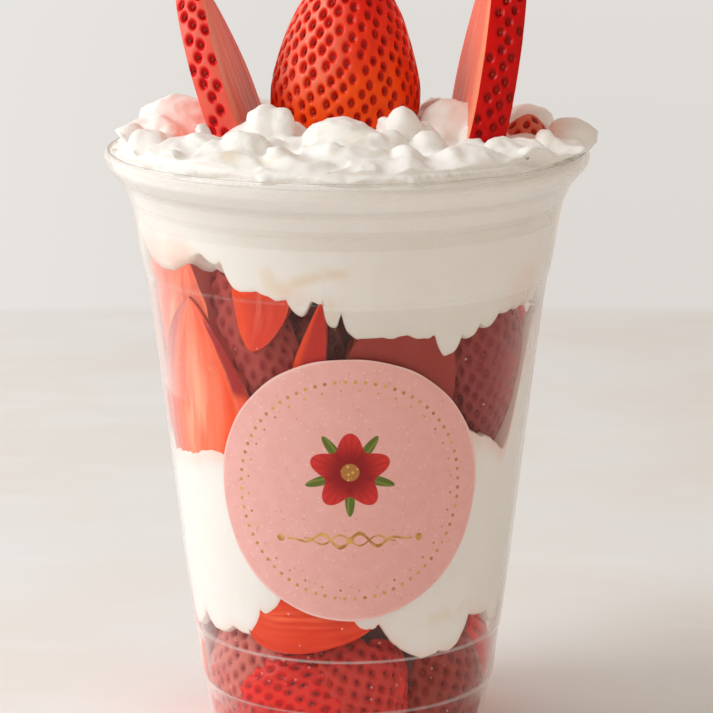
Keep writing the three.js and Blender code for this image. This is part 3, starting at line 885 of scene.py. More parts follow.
def heap_shade(look):
    """Painted shade: the dark red middle of a heap, seen between the pieces."""
    tree = material_tree("heap_shade")
    place = tree.place()
    mottle = tree.noise(place, 7, 4)
    colour = tree.blend(mottle.step(0.35, 0.7), look.gap, look.gap_shade_red)
    return tree.finish(tree.principled(
        colour=colour, roughness=0.3 + mottle * 0.2, specular=0.2,
        normal=tree.bump(mottle, 0.8, 0.8),
    ))


def label_paper(look):
    """Pink speckled paper with rings of gold dots, a red blossom and a gold flourish."""
    tree = material_tree("label_paper")
    place = tree.place()
    across, up, _ = tree.split(tree.attribute("print", "Vector"))
    fine = tree.noise(place, 0.35, 2)
    mottle = tree.noise(place, 2.5, 4)
    light = tree.cells(place, 1.5).step(0.2, 0.12)
    dark = tree.cells(place, 2.3).step(0.14, 0.08)

    def from_centre(x, y):
        return ((across - x) ** 2 + (up - y) ** 2) ** 0.5

    far = from_centre(0, 0)
    turn = up.angle_from(across)
    rim = look.size / MM / 2
    colour = tree.blend(mottle.step(0.3, 0.7) * 0.6, look.paper, look.paper_deep)
    colour = tree.blend(fine.step(0.55, 0.8) * 0.35, colour, look.paper_light)
    colour = tree.blend(light * 0.45, colour, look.paper_light)
    colour = tree.blend(dark * 0.35, colour, look.paper_speck)
    colour = tree.blend(far.step(rim - 0.55, rim - 0.15) * 0.55, colour, look.paper_light)

    def dotted_ring(radius, count, size):
        cell = (turn * (count / math.tau) + count).alone("FRACT")
        beside = (cell - 0.5) * (math.tau * radius / count)
        distance = (beside**2 + (far - radius) ** 2) ** 0.5
        return distance.step(size + 0.12, size - 0.08)

    outer_ring, inner_ring = DOT_RINGS
    gold = dotted_ring(*outer_ring).most(dotted_ring(*inner_ring))

    petal_far = from_centre(0, BLOOM_UP)
    petal_turn = (up - BLOOM_UP).angle_from(across)
    waves = (petal_turn * PETALS - math.pi / 2).alone("COSINE")
    petals = (petal_far - (waves * 1.5 + 6.6)).step(0.12, -0.12)
    leaf_waves = (petal_turn * PETALS + math.pi / 2).alone("COSINE")
    leaves = (petal_far - (leaf_waves.most(0) ** 3 * 4.6 + 4.6)).step(0.12, -0.12)
    veins = (petal_turn * (6 * PETALS)).alone("SINE").step(0.2, 0.9)
    colour = tree.blend(leaves, colour, tree.blend(veins * 0.5, look.leaf, look.leaf_light))
    petal_colour = tree.blend(petal_far.step(2.0, 7.5), look.blossom_dark, look.blossom)
    petal_colour = tree.blend(veins * 0.25, petal_colour, look.blossom_dark)
    folds = waves.step(-0.55, -0.9) * petal_far.step(6.2, 3)
    petal_colour = tree.blend(folds * 0.8, petal_colour, look.blossom_dark)
    colour = tree.blend(petals, colour, petal_colour)
    beads = tree.cells(place, 0.8).step(0.45, 0.25)
    middle_colour = tree.blend(beads, look.gold_dark, look.gold)
    colour = tree.blend(petal_far.step(1.9, 1.7), colour, middle_colour)

    # The flourish: two waves that fade to both ends, with a bead in the middle and at each end.
    swing = (across * (math.tau / FLOURISH_WAVE)).alone("SINE")
    side = abs(across)
    taper = side.step(12.5, 3)
    rise = up - FLOURISH_UP
    wave = abs(rise - swing * 1.5 * taper) - 0.16 - taper * 0.22
    counter = abs(rise + swing * 1.1 * taper) - 0.1 - taper * 0.08
    gold = gold.most(wave.step(0.14, -0.06) * side.step(12.6, 12.2))
    gold = gold.most(counter.step(0.12, -0.05) * side.step(9.2, 8.8))
    for x in FLOURISH_BEADS:
        gold = gold.most(from_centre(x, FLOURISH_UP).step(0.85, 0.65))
    gold_colour = tree.blend(mottle.step(0.35, 0.65), look.gold_dark, look.gold)
    return tree.finish(tree.principled(
        colour=tree.blend(gold, colour, gold_colour),
        metallic=gold * 0.25,
        roughness=0.62 - gold * 0.25 + fine * 0.1,
        specular=0.3,
        normal=tree.bump(fine * 0.6 + mottle * 0.4 + gold, 0.05, 0.5),
    ))


def floor_finish(look):
    """A pale washed surface whose edges fade out."""
    tree = material_tree("pale_floor")
    place = tree.place()
    x, y, _ = tree.split(place)
    cloud = tree.noise(place, 90, 3)
    stretched = tree.join(x * 0.35, y, 0.0)
    grain = tree.noise(stretched, 22, 4)
    fine = tree.noise(place, 1.2, 2)
    colour = tree.blend(cloud.step(0.35, 0.65) * 0.7, look.floor, look.floor_warm)
    colour = tree.blend(grain.step(0.5, 0.8) * 0.45, colour, look.floor_light)
    surface = tree.principled(
        colour=colour, roughness=0.6 + fine * 0.15, specular=0.3,
        normal=tree.bump(fine * 0.5 + grain, 0.2, 0.4),
    )
    clear = tree.node("ShaderNodeBsdfTransparent")
    half_x = look.floor_width / 2
    half_y = look.floor_depth / 2
    inside = abs(x).step(half_x, half_x * 0.93) * abs(y).step(half_y, half_y * 0.965)
    return tree.finish(tree.node("ShaderNodeMixShader", {}, {0: inside, 1: clear, 2: surface}))


# ---------------------------------------------------------------- layers of cream


def with_back_lobes(lobes, low, high, seed):
    """Adds lobes round the back, with heights between low and high, by a seeded rule."""
    draw = seeded_draws(seed)
    back = []
    angle = BACK_LOBES["start"]
    while angle < BACK_LOBES["end"]:
        lowest = mix(low, high, next(draw))
        half_width = mix(*BACK_LOBES["half_width"], next(draw))
        side = high + BACK_LOBES["rise"]
        back.append((angle, half_width, lowest, side, BACK_LOBES["squareness"]))
        angle += mix(*BACK_LOBES["spacing"], next(draw))
    return (*lobes, *back)


def unevenness(angle, seed, broad, fine, rate):
    """Swells along an edge round the cup, in millimetres: broad ones, and fine ones at a rate."""
    turn = math.radians(angle)
    spot = Vector((math.sin(turn) * 9, math.cos(turn) * 9, seed))
    return broad * noise.noise(spot) + fine * noise.noise(spot * rate)


def lobed_edge(front, shoulder, low, high, seed):
    """Height of a lobed edge at an angle, a little uneven along its way."""
    lobes = with_back_lobes(front, low, high, seed)

    def height_at(angle):
        heights = [shoulder]
        for at, half_width, lowest, side, squareness in lobes:
            share = abs(turn_between(angle, at)) / half_width
            if share < 1:
                heights.append(mix(lowest, side, share**squareness))
        return min(heights) + unevenness(angle, seed, 0.55, 0.3, 3.1)

    return height_at


def smooth_edge(places, seed):
    """Height of a smooth edge through (angle, height) places round the cup."""

    def height_at(angle):
        for i, (at, height) in enumerate(places):
            after, after_height = places[(i + 1) % len(places)]
            if (angle - at) % 360 < (after - at) % 360:
                share = ((angle - at) % 360) / ((after - at) % 360)
                break
        uneven = unevenness(angle, seed, 0.8, 0.35, 3.3)
        return mix(height, after_height, float(smooth(0, 1, share))) + uneven

    return height_at


top_cream_edge = lobed_edge(TOP_CREAM_LOBES, **TOP_CREAM_EDGE)
middle_cream_edge = lobed_edge(MIDDLE_CREAM_LOBES, **MIDDLE_CREAM_EDGE)
middle_cream_rim = smooth_edge(MIDDLE_CREAM_RIM, 5.4)


def top_cream_tuck(angle):
    drops = [PLAIN_TUCK]
    for at, half_width, drop in TOP_CREAM_TUCKS:
        share = turn_between(angle, at) / half_width
        drops.append(drop * max(0, 1 - share**2))
    return max(drops)


def cream_face(middle, edge, tuck):
    """A face of cream from the axis out to its edge on the wall. Close to the wall it rounds
    over by the tuck."""
    outer = float(inside_radius(edge)) + CREAM_REACH
    points = [(share * outer, mix(middle, edge - tuck, share**4)) for share in FACE_SHARES]
    for i in range(TUCK_STEPS):
        turn = math.pi / 2 * (1 - i / TUCK_STEPS)
        radius = outer * (1 - (1 - TUCK_RING) * (1 - math.cos(turn)))
        points.append((radius, edge - tuck * math.sin(turn)))
    return points


def wall_run(low, high, count):
    """The stretch of wall between two heights, as (radius, height) points."""
    heights = np.linspace(low, high, count)
    return [(float(inside_radius(h)) + CREAM_REACH, float(h)) for h in heights]


def fill_angles(front_step, back_step, front_half=96):
    front = np.arange(-front_half, front_half, front_step)
    count = round((360 - 2 * front_half) / back_step)
    back = front_half + np.arange(count) * (360 - 2 * front_half) / count
    return np.concatenate([front, back])


def cream_top_height(x, y):
    """Height of the cream's upper surface at a place: the highest spoonful there."""
    height = np.full(np.shape(x), float(CREAM_BED))
    for across, depth, radius, peak in DOLLOPS:
        share = np.hypot(x - across, y - depth) / radius
        height = np.maximum(height, peak - (peak - CREAM_BED) * share**2)
    return height


def ridged_relief(piece, size, depth, seed):
    """Sharp crests with soft dips between them, pushed out along the surface."""
    places = read_places(piece)
    normals = read_normals(piece)
    warped = places + 0.35 * size * np.column_stack([
        field(places, size * 1.7, seed + 3),
        field(places, size * 1.7, seed + 6),
        np.zeros(len(places)),
    ])
    crest = (1 - np.minimum(np.abs(field(warped, size, seed)) * 1.8, 1)) ** 1.6
    write_places(piece, places + normals * ((crest - 0.35) * depth)[:, None])


def stain_near(piece, spots):
    """Juice in the cream: spots are (x, y, z, radius, strength) in millimetres."""
    places = read_places(piece)
    amount = np.zeros(len(places))
    for x, y, z, radius, strength in spots:
        far = np.linalg.norm(places - (x, y, z), axis=1) / radius
        amount = np.maximum(amount, strength * smooth(1, 0.2, far))
    return amount


def by_wall(angle, height):
    """A place on the inside of the wall."""
    turn = math.radians(angle)
    radius = float(inside_radius(height))
    return radius * math.sin(turn), -radius * math.cos(turn), height


def crease_shading(piece, lines):
    """How strongly the painted shade of a crease shows at each corner of a layer of cream."""
    places = read_places(piece)
    turn = angles_of(places)
    spread = np.column_stack([turn * np.hypot(places[:, 0], places[:, 1]), places[:, 2]])
    amount = np.zeros(len(places))
    for way, half_width, strength in lines:
        ends = [
            (math.radians(angle) * float(inside_radius(height)), height) for angle, height in way
        ]
        for start, end in zip(ends, ends[1:]):
            run = np.subtract(end, start)
            share = np.clip((spread - start) @ run / (run @ run), 0, 1)
            far = np.linalg.norm(spread - start - share[:, None] * run, axis=1)
            amount = np.maximum(amount, strength * smooth(half_width, 0.2 * half_width, far))
    return amount


class CreamLook(bpy.types.PropertyGroup):
    """Sizes and colours of the whipped cream"""

    white: colour_setting("White", "Plain cream", (0.93, 0.915, 0.885))
    shade: colour_setting("Shade", "Cream in its soft mottling", (0.90, 0.875, 0.83))
    # Colour of the painted shade in creases and hollows, also used for small specks.
    crease_shade_and_speck: colour_setting("Crease", "Yellow cream in the folds", (0.84, 0.70, 0.50))
    stain: colour_setting("Stain", "Cream with juice in it", (0.92, 0.56, 0.46))
    grain: length_setting(
        "Grain", "Size of the cells the peaks are smoothed on", 0.58 * MM, min=0.4 * MM, max=2 * MM,
    )
    lumps: count_setting("Lumps", "Number of small lumps on the spoonfuls", 60, min=0)


def make_middle_cream(material):
    """The layer between the heaps: its lobed edge, the wall, and its upper face upside down."""

    def outline_at(angle):
        low = middle_cream_edge(angle)
        high = middle_cream_rim(angle)
        upper = [(r, 2 * high - h) for r, h in cream_face(2 * high - MIDDLE_CREAM_TOP, high, 0.5)]
        return [
            *cream_face(MIDDLE_CREAM_UNDERSIDE, low, PLAIN_TUCK),
            *wall_run(low, high, 26),
            *upper[::-1],
        ]

    piece = turned_body("cream_middle_layer", fill_angles(0.5, 2), outline_at)
    places = read_places(piece)
    turn = np.degrees(angles_of(places))
    rim = np.array([middle_cream_rim(angle) for angle in turn])
    edge = np.array([middle_cream_edge(angle) for angle in turn])
    wet = smooth(4.5, 0, rim - places[:, 2]) * 0.55
    wet = np.maximum(wet, smooth(2.2, 0, places[:, 2] - edge) * 0.3)
    wet = np.maximum(wet, stain_near(piece, [(*by_wall(74, 84), 10, 0.25)]))
    paint(piece, "stain", "FLOAT", wet)
    # Painted shade along a crease on the wall.
    paint(piece, "crease_shade_and_speck", "FLOAT", crease_shading(piece, MIDDLE_CREAM_CREASE_SHADE))
    smooth_shade(piece)
    finish_piece(piece, ["cream_middle"], [material])


def make_top_cream(material):
    """The layer inside the cup, up to the lip."""

    def outline_at(angle):
        low = top_cream_edge(angle)
        high = CUP_HEIGHT - 1.6
        return [
            *cream_face(TOP_CREAM_UNDERSIDE, low, top_cream_tuck(angle)),
            *wall_run(low, high, 30),
            (RIM_SPREAD - 1.2, CUP_HEIGHT - 0.4),
            (RIM_SPREAD - 4, CUP_HEIGHT),
            (0, CUP_HEIGHT),
        ]

    piece = turned_body("cream_top_layer", fill_angles(0.5, 2), outline_at)
    places = read_places(piece)
    spots = [
        (*by_wall(-68, 104), 11, 0.6),
        (*by_wall(-52, 105), 8, 0.55),
        (*by_wall(-15, 101), 5, 0.25),
        (*by_wall(60, 98), 9, 0.35),
    ]
    paint(piece, "stain", "FLOAT", stain_near(piece, spots))
    turn = np.degrees(angles_of(places))
    edge = np.array([top_cream_edge(angle) for angle in turn])
    # Painted shade along the cream's lower edge on the wall and along its creases.
    shaded = smooth(1.2, 0, places[:, 2] - edge) * 0.25
    paint(piece, "crease_shade_and_speck", "FLOAT", np.maximum(shaded, crease_shading(piece, TOP_CREAM_CREASE_SHADE)))
    smooth_shade(piece)
    finish_piece(piece, ["cream_top"], [material])


def make_cream_peaks(look, material):
    """The spoonfuls above the lip: one surface over a bed with peaks and folds melted in."""

    def bed_height(x, y):
        across, depth, _ = REAR_BERRY["at"]
        bared = 2.0 * float(smooth(10, 5, math.hypot(x - across, (y - depth + 9) / 1.6)))
        return mix(CREAM_BED, float(cream_top_height(x, y)), BED_SHARE) - bared

    def outline_at(angle):
        out = max(0, 1 - (turn_between(angle, OVERHANG["angle"]) / OVERHANG["spread"]) ** 2)
        spread = RIM_SPREAD + OVERHANG["reach"] * out
        x = math.sin(math.radians(angle))
        y = -math.cos(math.radians(angle))
        points = [
            (0, PEAK_BOTTOM),
            (RIM_SPREAD - 3, PEAK_BOTTOM),
            (RIM_SPREAD - 0.6, CUP_HEIGHT + 0.1),
            (spread - 0.6, CUP_HEIGHT + OVERHANG_LIFT),
            (spread, CUP_HEIGHT + 1.1),
        ]
        for share in np.linspace(0.985, 0.03, 34):
            height = bed_height(spread * share * x, spread * share * y)
            fall = EDGE_ROUND * min(max((share - 0.85) / 0.15, 0), 1) ** 2
            points.append((spread * share, max(height - fall, CUP_HEIGHT + 1.3)))
        return [*points, (0, bed_height(0, 0))]

    bed = turned_body("cream_peaks", fill_angles(2, 2), outline_at)
    draw = seeded_draws(41)
    blobs = [bed]

    def blob(x, y, z, sizes, lean, turn):
        deselect()
        bpy.ops.mesh.primitive_ico_sphere_add(subdivisions=2, radius=1)
        piece = named("lump")
        place = (
            Matrix.Translation(Vector((x, y, z)) * MM)
            @ turned(turn, "Z")
            @ turned(lean, "Y")
            @ Matrix.Diagonal((*(size * MM for size in sizes), 1))
        )
        piece.data.transform(place)
        blobs.append(piece)

    for x, y, z, wide, deep, high, lean in PEAKS:
        blob(x, y, z, (wide, deep, high), lean, 0)
    for i in range(look.lumps):
        far = LUMP_SPREAD * math.sqrt((i + 0.5) / look.lumps)
        turn = i * GOLDEN_ANGLE
        x = far * math.sin(turn) + mix(*LUMP_STRAY, next(draw))
        y = -far * math.cos(turn) + mix(*LUMP_STRAY, next(draw))
        size = mix(*LUMP_SIZE, next(draw))
        thick = mix(*LUMP_THICKNESS, next(draw))
        z = bed_height(x, y) + mix(*LUMP_LIFT, next(draw))
        lean = mix(*LUMP_LEAN, next(draw))
        way = mix(0, 360, next(draw))
        if math.hypot(x, y) > 42:
            z = min(z, 126)
            lean *= 0.4
        if math.hypot(x - REAR_BERRY["at"][0], (y + 4) / 2) < 8:
            continue
        blob(x, y, max(z, CUP_HEIGHT + 1.5), (size, size * 0.8, thick), lean, way)

    piece = joined("cream_peaks", blobs)
    apply_modifier(piece, "REMESH", mode="VOXEL", voxel_size=look.grain)
    apply_modifier(piece, "SMOOTH", factor=0.5, iterations=9)
    for size, depth, seed in PEAK_RELIEF:
        ridged_relief(piece, size, depth, seed)
    apply_modifier(piece, "SMOOTH", factor=0.5, iterations=1)
    places = read_places(piece)
    far = np.hypot(places[:, 0], places[:, 1])
    turn = np.degrees(angles_of(places))
    out = np.clip(1 - (turn_between(turn, OVERHANG["angle"]) / OVERHANG["spread"]) ** 2, 0, 1)
    over_lip = smooth(CUP_HEIGHT + 0.2, CUP_HEIGHT + 1.2, places[:, 2])
    limit = mix(inside_radius(np.minimum(places[:, 2], 122.4)) - 0.1, 45.4, over_lip)
    limit += 1.6 * smooth(125.5, 128.5, places[:, 2]) + (OVERHANG["reach"] + 1.2) * out * over_lip
    shrink = np.minimum(1, limit / np.maximum(far, 1))
    places[:, :2] *= shrink[:, None]
    write_places(piece, places)
    crease_shade_and_speck, stain = peak_tints(piece)
    paint(piece, "crease_shade_and_speck", "FLOAT", crease_shade_and_speck)
    paint(piece, "stain", "FLOAT", stain)
    smooth_shade(piece)
    finish_piece(piece, ["cream_top"], [material])


def peak_tints(piece):
    """Painted yellowish shade in the hollows, and pink where the berries stand."""
    places = read_places(piece)
    below = cream_top_height(places[:, 0], places[:, 1]) - places[:, 2]
    patches = smooth(0.0, 0.4, field(places, 9, 8))
    crease_shade_and_speck = smooth(1.5, 4.5, below) * patches * 0.7
    # Painted shade in two folds: x, y, z, radius and strength.
    folds = [(-22, -36, 127, 3.5, 0.9), (-14, -38, 125, 4, 0.7)]
    crease_shade_and_speck = np.maximum(crease_shade_and_speck, stain_near(piece, folds))
    spots = [
        (-38, 1, 128.4, 4, 0.35),
        (-32, 6, 131, 3.5, 0.08),
        (-16.5, -4, 132.5, 4.5, 0.4),
        (22, 4, 132, 6, 0.06),
        (33, 2, 127, 6, 0.6),
        (37, 16, 128.5, 6, 0.3),
        (0, -14, 130, 6, 0.25),
    ]
    return crease_shade_and_speck, stain_near(piece, spots)


# ---------------------------------------------------------------- strawberries


class BerryLook(bpy.types.PropertyGroup):
    """Sizes and colours of the strawberries"""

    seed_area: number_setting(
        "Area a seed", "Skin round each seed, in square millimetres", 7.9, min=4, max=40,
    )
    slice_area: number_setting(
        "Area a seed on slices", "Skin round each seed, in square millimetres", 7.4, min=4, max=40,
    )
    pit_width: length_setting("Pit width", "Across the pit round a seed", 1.6 * MM)
    pit_length: length_setting("Pit length", "Length of the pit round a seed", 2.35 * MM)
    pit_depth: length_setting("Pit depth", "How far a seed lies below the skin", 0.5 * MM)
    seed_length: length_setting("Seed length", "Length of a seed", 0.95 * MM)
    # Painted shade: the skin is darkened in the pits.
    pit: colour_setting("Pit shade", "Multiplies the skin's tone in the pits", (0.60, 0.13, 0.22))
    # Pale skin between the pits, partly painted sheen.
    ridge_and_sheen: colour_setting("Ridge", "Pale skin between the pits", (0.94, 0.31, 0.21))
    # Painted glints on beads of juice behind the plastic.
    bead_glint_colour: colour_setting("Bead", "Beads of juice behind the plastic", (0.95, 0.62, 0.55))
    streak: colour_setting("Streak", "Multiplies the flesh's tone in streaks", (0.80, 0.42, 0.42))
    wet: colour_setting("Wet red", "Juicy rim of a cut face", (0.42, 0.006, 0.005))
    seed: colour_setting("Seed", "Light seeds", (0.36, 0.038, 0.012))
    seed_dark: colour_setting("Dark seed", "Dark seeds", (0.20, 0.010, 0.006))
    # Painted shade between the pieces of a heap, dark and in patches red.
    gap: colour_setting("Gap", "Dark between the pieces of a heap", (0.045, 0.016, 0.013))
    gap_shade_red: colour_setting("Gap red", "Red between the pieces of a heap", (0.20, 0.020, 0.014))


def berry_profile(size, along):
    """Radius and height of a berry's outline. along goes from 0 at the stalk to 1 at the tip."""
    along = np.asarray(along, dtype=float)
    turn = SHOULDER_SHARE_OF_RINGS
    length = size["length"]
    shoulder = SHOULDER_SHARE * length
    down = np.cos(math.pi / 2 * np.clip(along / turn, 0, 1))
    up = np.sin(math.pi / 2 * np.clip((along - turn) / (1 - turn), 0, 1))
    low_radius = np.maximum(1 - down**SHOULDER_BULGE, 0) ** SHOULDER_ROUND
    high_radius = np.maximum(1 - up**TIP_BULGE, 0) ** size.get("point", PLAIN_POINT)
    radius = np.where(along < turn, low_radius, high_radius) * size["width"] / 2
    height = np.where(along < turn, shoulder * (1 - down), shoulder + (length - shoulder) * up)
    return radius, height


def seed_places(size, area, spacing_seed):
    """Seeds in turning rows over a berry, each with the same share of skin: place, outward
    direction and direction along the berry, one row a seed."""
    along = np.linspace(0, 1, 400)
    radius, height = berry_profile(size, along)
    step = np.hypot(np.diff(radius), np.diff(height))
    skin = np.concatenate([[0], np.cumsum(math.pi * (radius[1:] + radius[:-1]) * step)])
    count = int(skin[-1] / area)
    draw = seeded_draws(spacing_seed)
    jitter = np.array([[next(draw), next(draw)] for _ in range(count)]) - 0.5
    where = np.interp((np.arange(count) + 0.5 + 0.5 * jitter[:, 0]) * area, skin, along)
    turn = np.arange(count) * GOLDEN_ANGLE + 0.08 * jitter[:, 1]
    r, h = berry_profile(size, where)
    r1, h1 = berry_profile(size, np.minimum(where + 0.004, 1))
    r0, h0 = berry_profile(size, np.maximum(where - 0.004, 0))
    run = np.hypot(r1 - r0, h1 - h0)
    dr, dh = (r1 - r0) / run, (h1 - h0) / run
    sin, cos = np.sin(turn), -np.cos(turn)
    place = np.column_stack([r * sin, r * cos, h])
    out = np.column_stack([dh * sin, dh * cos, -dr])
    up = np.column_stack([dr * sin, dr * cos, dh])
    keep = (where > 0.1) & (where < 0.985)
    return place[keep], out[keep], up[keep]


def press_pits(piece, seeds, look):
    """Presses a pit round each seed. Returns how deep the skin lies in it, and how far towards
    the middle of a ridge between pits it is."""
    places = read_places(piece)
    normals = read_normals(piece)
    centre, out, up = seeds
    nearest = np.full(len(places), 9.0)
    side = np.cross(up, out)
    half_width = look.pit_width / MM / 2
    half_length = look.pit_length / MM / 2
    for start in range(0, len(places), 2048):
        part = slice(start, start + 2048)
        offset = places[part, None, :] - centre[None, :, :]
        across = np.einsum("vsk,sk->vs", offset, side) / half_width
        along = np.einsum("vsk,sk->vs", offset, up) / half_length
        off = np.abs(np.einsum("vsk,sk->vs", offset, out))
        nearest[part] = np.where(off < 2.5, across**2 + along**2, 9).min(axis=1)
    pit = np.clip(1.15 - nearest, 0, 1) ** 0.85
    ridge_and_sheen = smooth(1.15, 2.0, nearest)
    write_places(piece, places + normals * (0.14 * ridge_and_sheen - pit * look.pit_depth / MM)[:, None])
    return pit, ridge_and_sheen


def seed_template():
    """One seed: a small tear drop along +Z, flattened, about 1 long."""
    piece, column, ring = ball("seed_template", 6, 4)
    along = ring / 4
    thick = np.array([0, 0.34, 0.36, 0.2, 0])[ring]
    turn = column * math.tau / 6
    places = np.column_stack([thick * np.sin(turn), -0.62 * thick * np.cos(turn), along - 0.5])
    faces = [tuple(face.vertices) for face in piece.data.polygons]
    bpy.data.objects.remove(piece)
    return places, faces


def seed_mesh(name, groups, length):
    """All seeds of a piece in one mesh: a copy of one seed at each place."""
    template, faces = seed_template()
    centre, out, up = (np.concatenate(rows) for rows in zip(*groups))
    side = np.cross(up, out)
    size = template * length
    places = (
        centre[:, None, :]
        + size[None, :, 0, None] * side[:, None, :]
        + size[None, :, 1, None] * -out[:, None, :]
        + size[None, :, 2, None] * up[:, None, :]
    )
    mesh = bpy.data.meshes.new(name)
    corners = [
        tuple(i + seed * len(template) for i in face)
        for seed in range(len(centre))
        for face in faces
    ]
    mesh.from_pydata((places.reshape(-1, 3) * MM).tolist(), [], corners)
    piece = bpy.data.objects.new(name, mesh)
    bpy.context.scene.collection.objects.link(piece)
    smooth_shade(piece)
    return piece


def berry_mesh(name, cut, size, columns, rings, lump_seed):
    """A strawberry along +Z with its stalk end at 0. cut is whole, half, which keeps y above 0,
    or slab, which keeps a thickness along x."""
    piece, column, ring = ball(name, columns, rings)
    radius, height = berry_profile(size, ring / rings)
    share = column / columns
    if cut == "half":
        turn = share * math.tau
        x = radius * np.cos(turn)
        y = np.where(share <= 0.5, radius * np.sin(turn), 0)
    elif cut == "slab":
        half = size["thickness"] / 2
        reach = np.arcsin(np.clip(half / np.maximum(radius, 1e-6), 0, 1))
        chord = np.sqrt(np.maximum(radius**2 - half**2, 0))
        band = 0.22
        face = 0.5 - band
        x = np.zeros(len(share))
        y = np.zeros(len(share))
        spans = ((0, band), (band, face), (0.5, band), (0.5 + band, face))
        for number, (start, span) in enumerate(spans):
            here = (share >= start - 1e-9) & (share < start + span - 1e-9)
            t = (share[here] - start) / span
            r, b, c = radius[here], reach[here], chord[here]
            edge = np.minimum(half, r)
            if number == 0:
                x[here], y[here] = r * np.sin(mix(-b, b, t)), -r * np.cos(mix(-b, b, t))
            elif number == 1:
                x[here], y[here] = edge, mix(-c, c, t)
            elif number == 2:
                x[here], y[here] = r * np.sin(mix(b, -b, t)), r * np.cos(mix(-b, b, t))
            else:
                x[here], y[here] = -edge, mix(c, -c, t)
    else:
        turn = share * math.tau
        x, y = radius * np.sin(turn), -radius * np.cos(turn)
    places = np.column_stack([x, y, height])
    write_places(piece, places)
    lump = 1 + 0.035 * field(places + lump_seed * 31, size["width"] * 0.42, lump_seed)
    scaled = places.copy()
    scaled[:, :2] *= lump[:, None]
    if cut == "slab":
        scaled[:, 0] = places[:, 0]
    write_places(piece, scaled)
    return piece, places


def mark_cut(piece, cut, size):
    """Gives the cut faces the flesh, and returns which corners lie on one."""
    faces = len(piece.data.polygons)
    centres = np.empty(faces * 3)
    piece.data.polygons.foreach_get("center", centres)
    centres = centres.reshape(-1, 3) / MM
    if cut == "half":
        flesh = centres[:, 1] < 0.02
    elif cut == "slab":
        flesh = np.abs(centres[:, 0]) > size["thickness"] / 2 - 0.02
    else:
        flesh = np.zeros(faces, dtype=bool)
    piece.data.polygons.foreach_set("material_index", flesh.astype(int))
    face = np.zeros(len(piece.data.vertices), dtype=bool)
    for polygon, cut_face in zip(piece.data.polygons, flesh):
        if cut_face:
            face[list(polygon.vertices)] = True
    return face


def skin_seeds(seeds, cut, size):
    """The seeds that the cut leaves."""
    place = seeds[0]
    if cut == "half":
        keep = place[:, 1] > 0.9
    elif cut == "slab":
        keep = np.abs(place[:, 0]) < size["thickness"] / 2 - 0.6
    else:
        keep = np.ones(len(place), dtype=bool)
    return tuple(row[keep] for row in seeds)


def moved_rows(rows, matrix, turn_only=False):
    moved = rows @ np.array(matrix.to_3x3()).T
    return moved if turn_only else moved + np.array(matrix.translation)


def against_wall(places, gap, face=None, press=1.0):
    """Keeps places a gap inside the wall, and lays a cut face along it, as pressed flesh is.
    A lower press flattens the piece towards the wall."""
    far = np.maximum(np.hypot(places[:, 0], places[:, 1]), 0.001)
    limit = inside_radius(places[:, 2]) - gap
    pushed = np.where(far < limit, limit - (limit - far) * press, far)
    places = places * np.column_stack([pushed / far, pushed / far, np.ones(len(far))])
    far = np.maximum(pushed, 0.001)
    share = np.minimum(1, limit / far)
    if face is not None:
        share = np.where(face, limit / far, np.minimum(share, (limit - 0.15) / far))
    pressed = places.copy()
    pressed[:, :2] *= share[:, None]
    pressed[:, 2] = np.maximum(pressed[:, 2], FLOOR + 0.05)
    return pressed


WALL_LEAN = math.degrees(math.atan2(inside_radius(96) - inside_radius(28), 96 - 28))


def wall_matrix(angle, height, length, depth, roll, spin=0):
    """Where a berry along the wall stands, in millimetres."""
    return (
        turned(angle, "Z")
        @ Matrix.Translation((0, depth - float(inside_radius(height)), height))
        @ turned(WALL_LEAN, "X")
        @ turned(roll, "Y")
        @ turned(spin, "Z")
        @ Matrix.Translation((0, 0, -length / 2))
    )


def flesh_tones(tones, across):
    """Tones of a cut face from its left to its right, as painted on its corners."""
    flesh, left, right = (np.array(tones[part]) for part in ("flesh", "left", "right"))
    colour = mix(left, flesh, smooth(-0.85, -0.35, across)[:, None])
    return mix(colour, right, smooth(0.1, 0.75, across)[:, None])


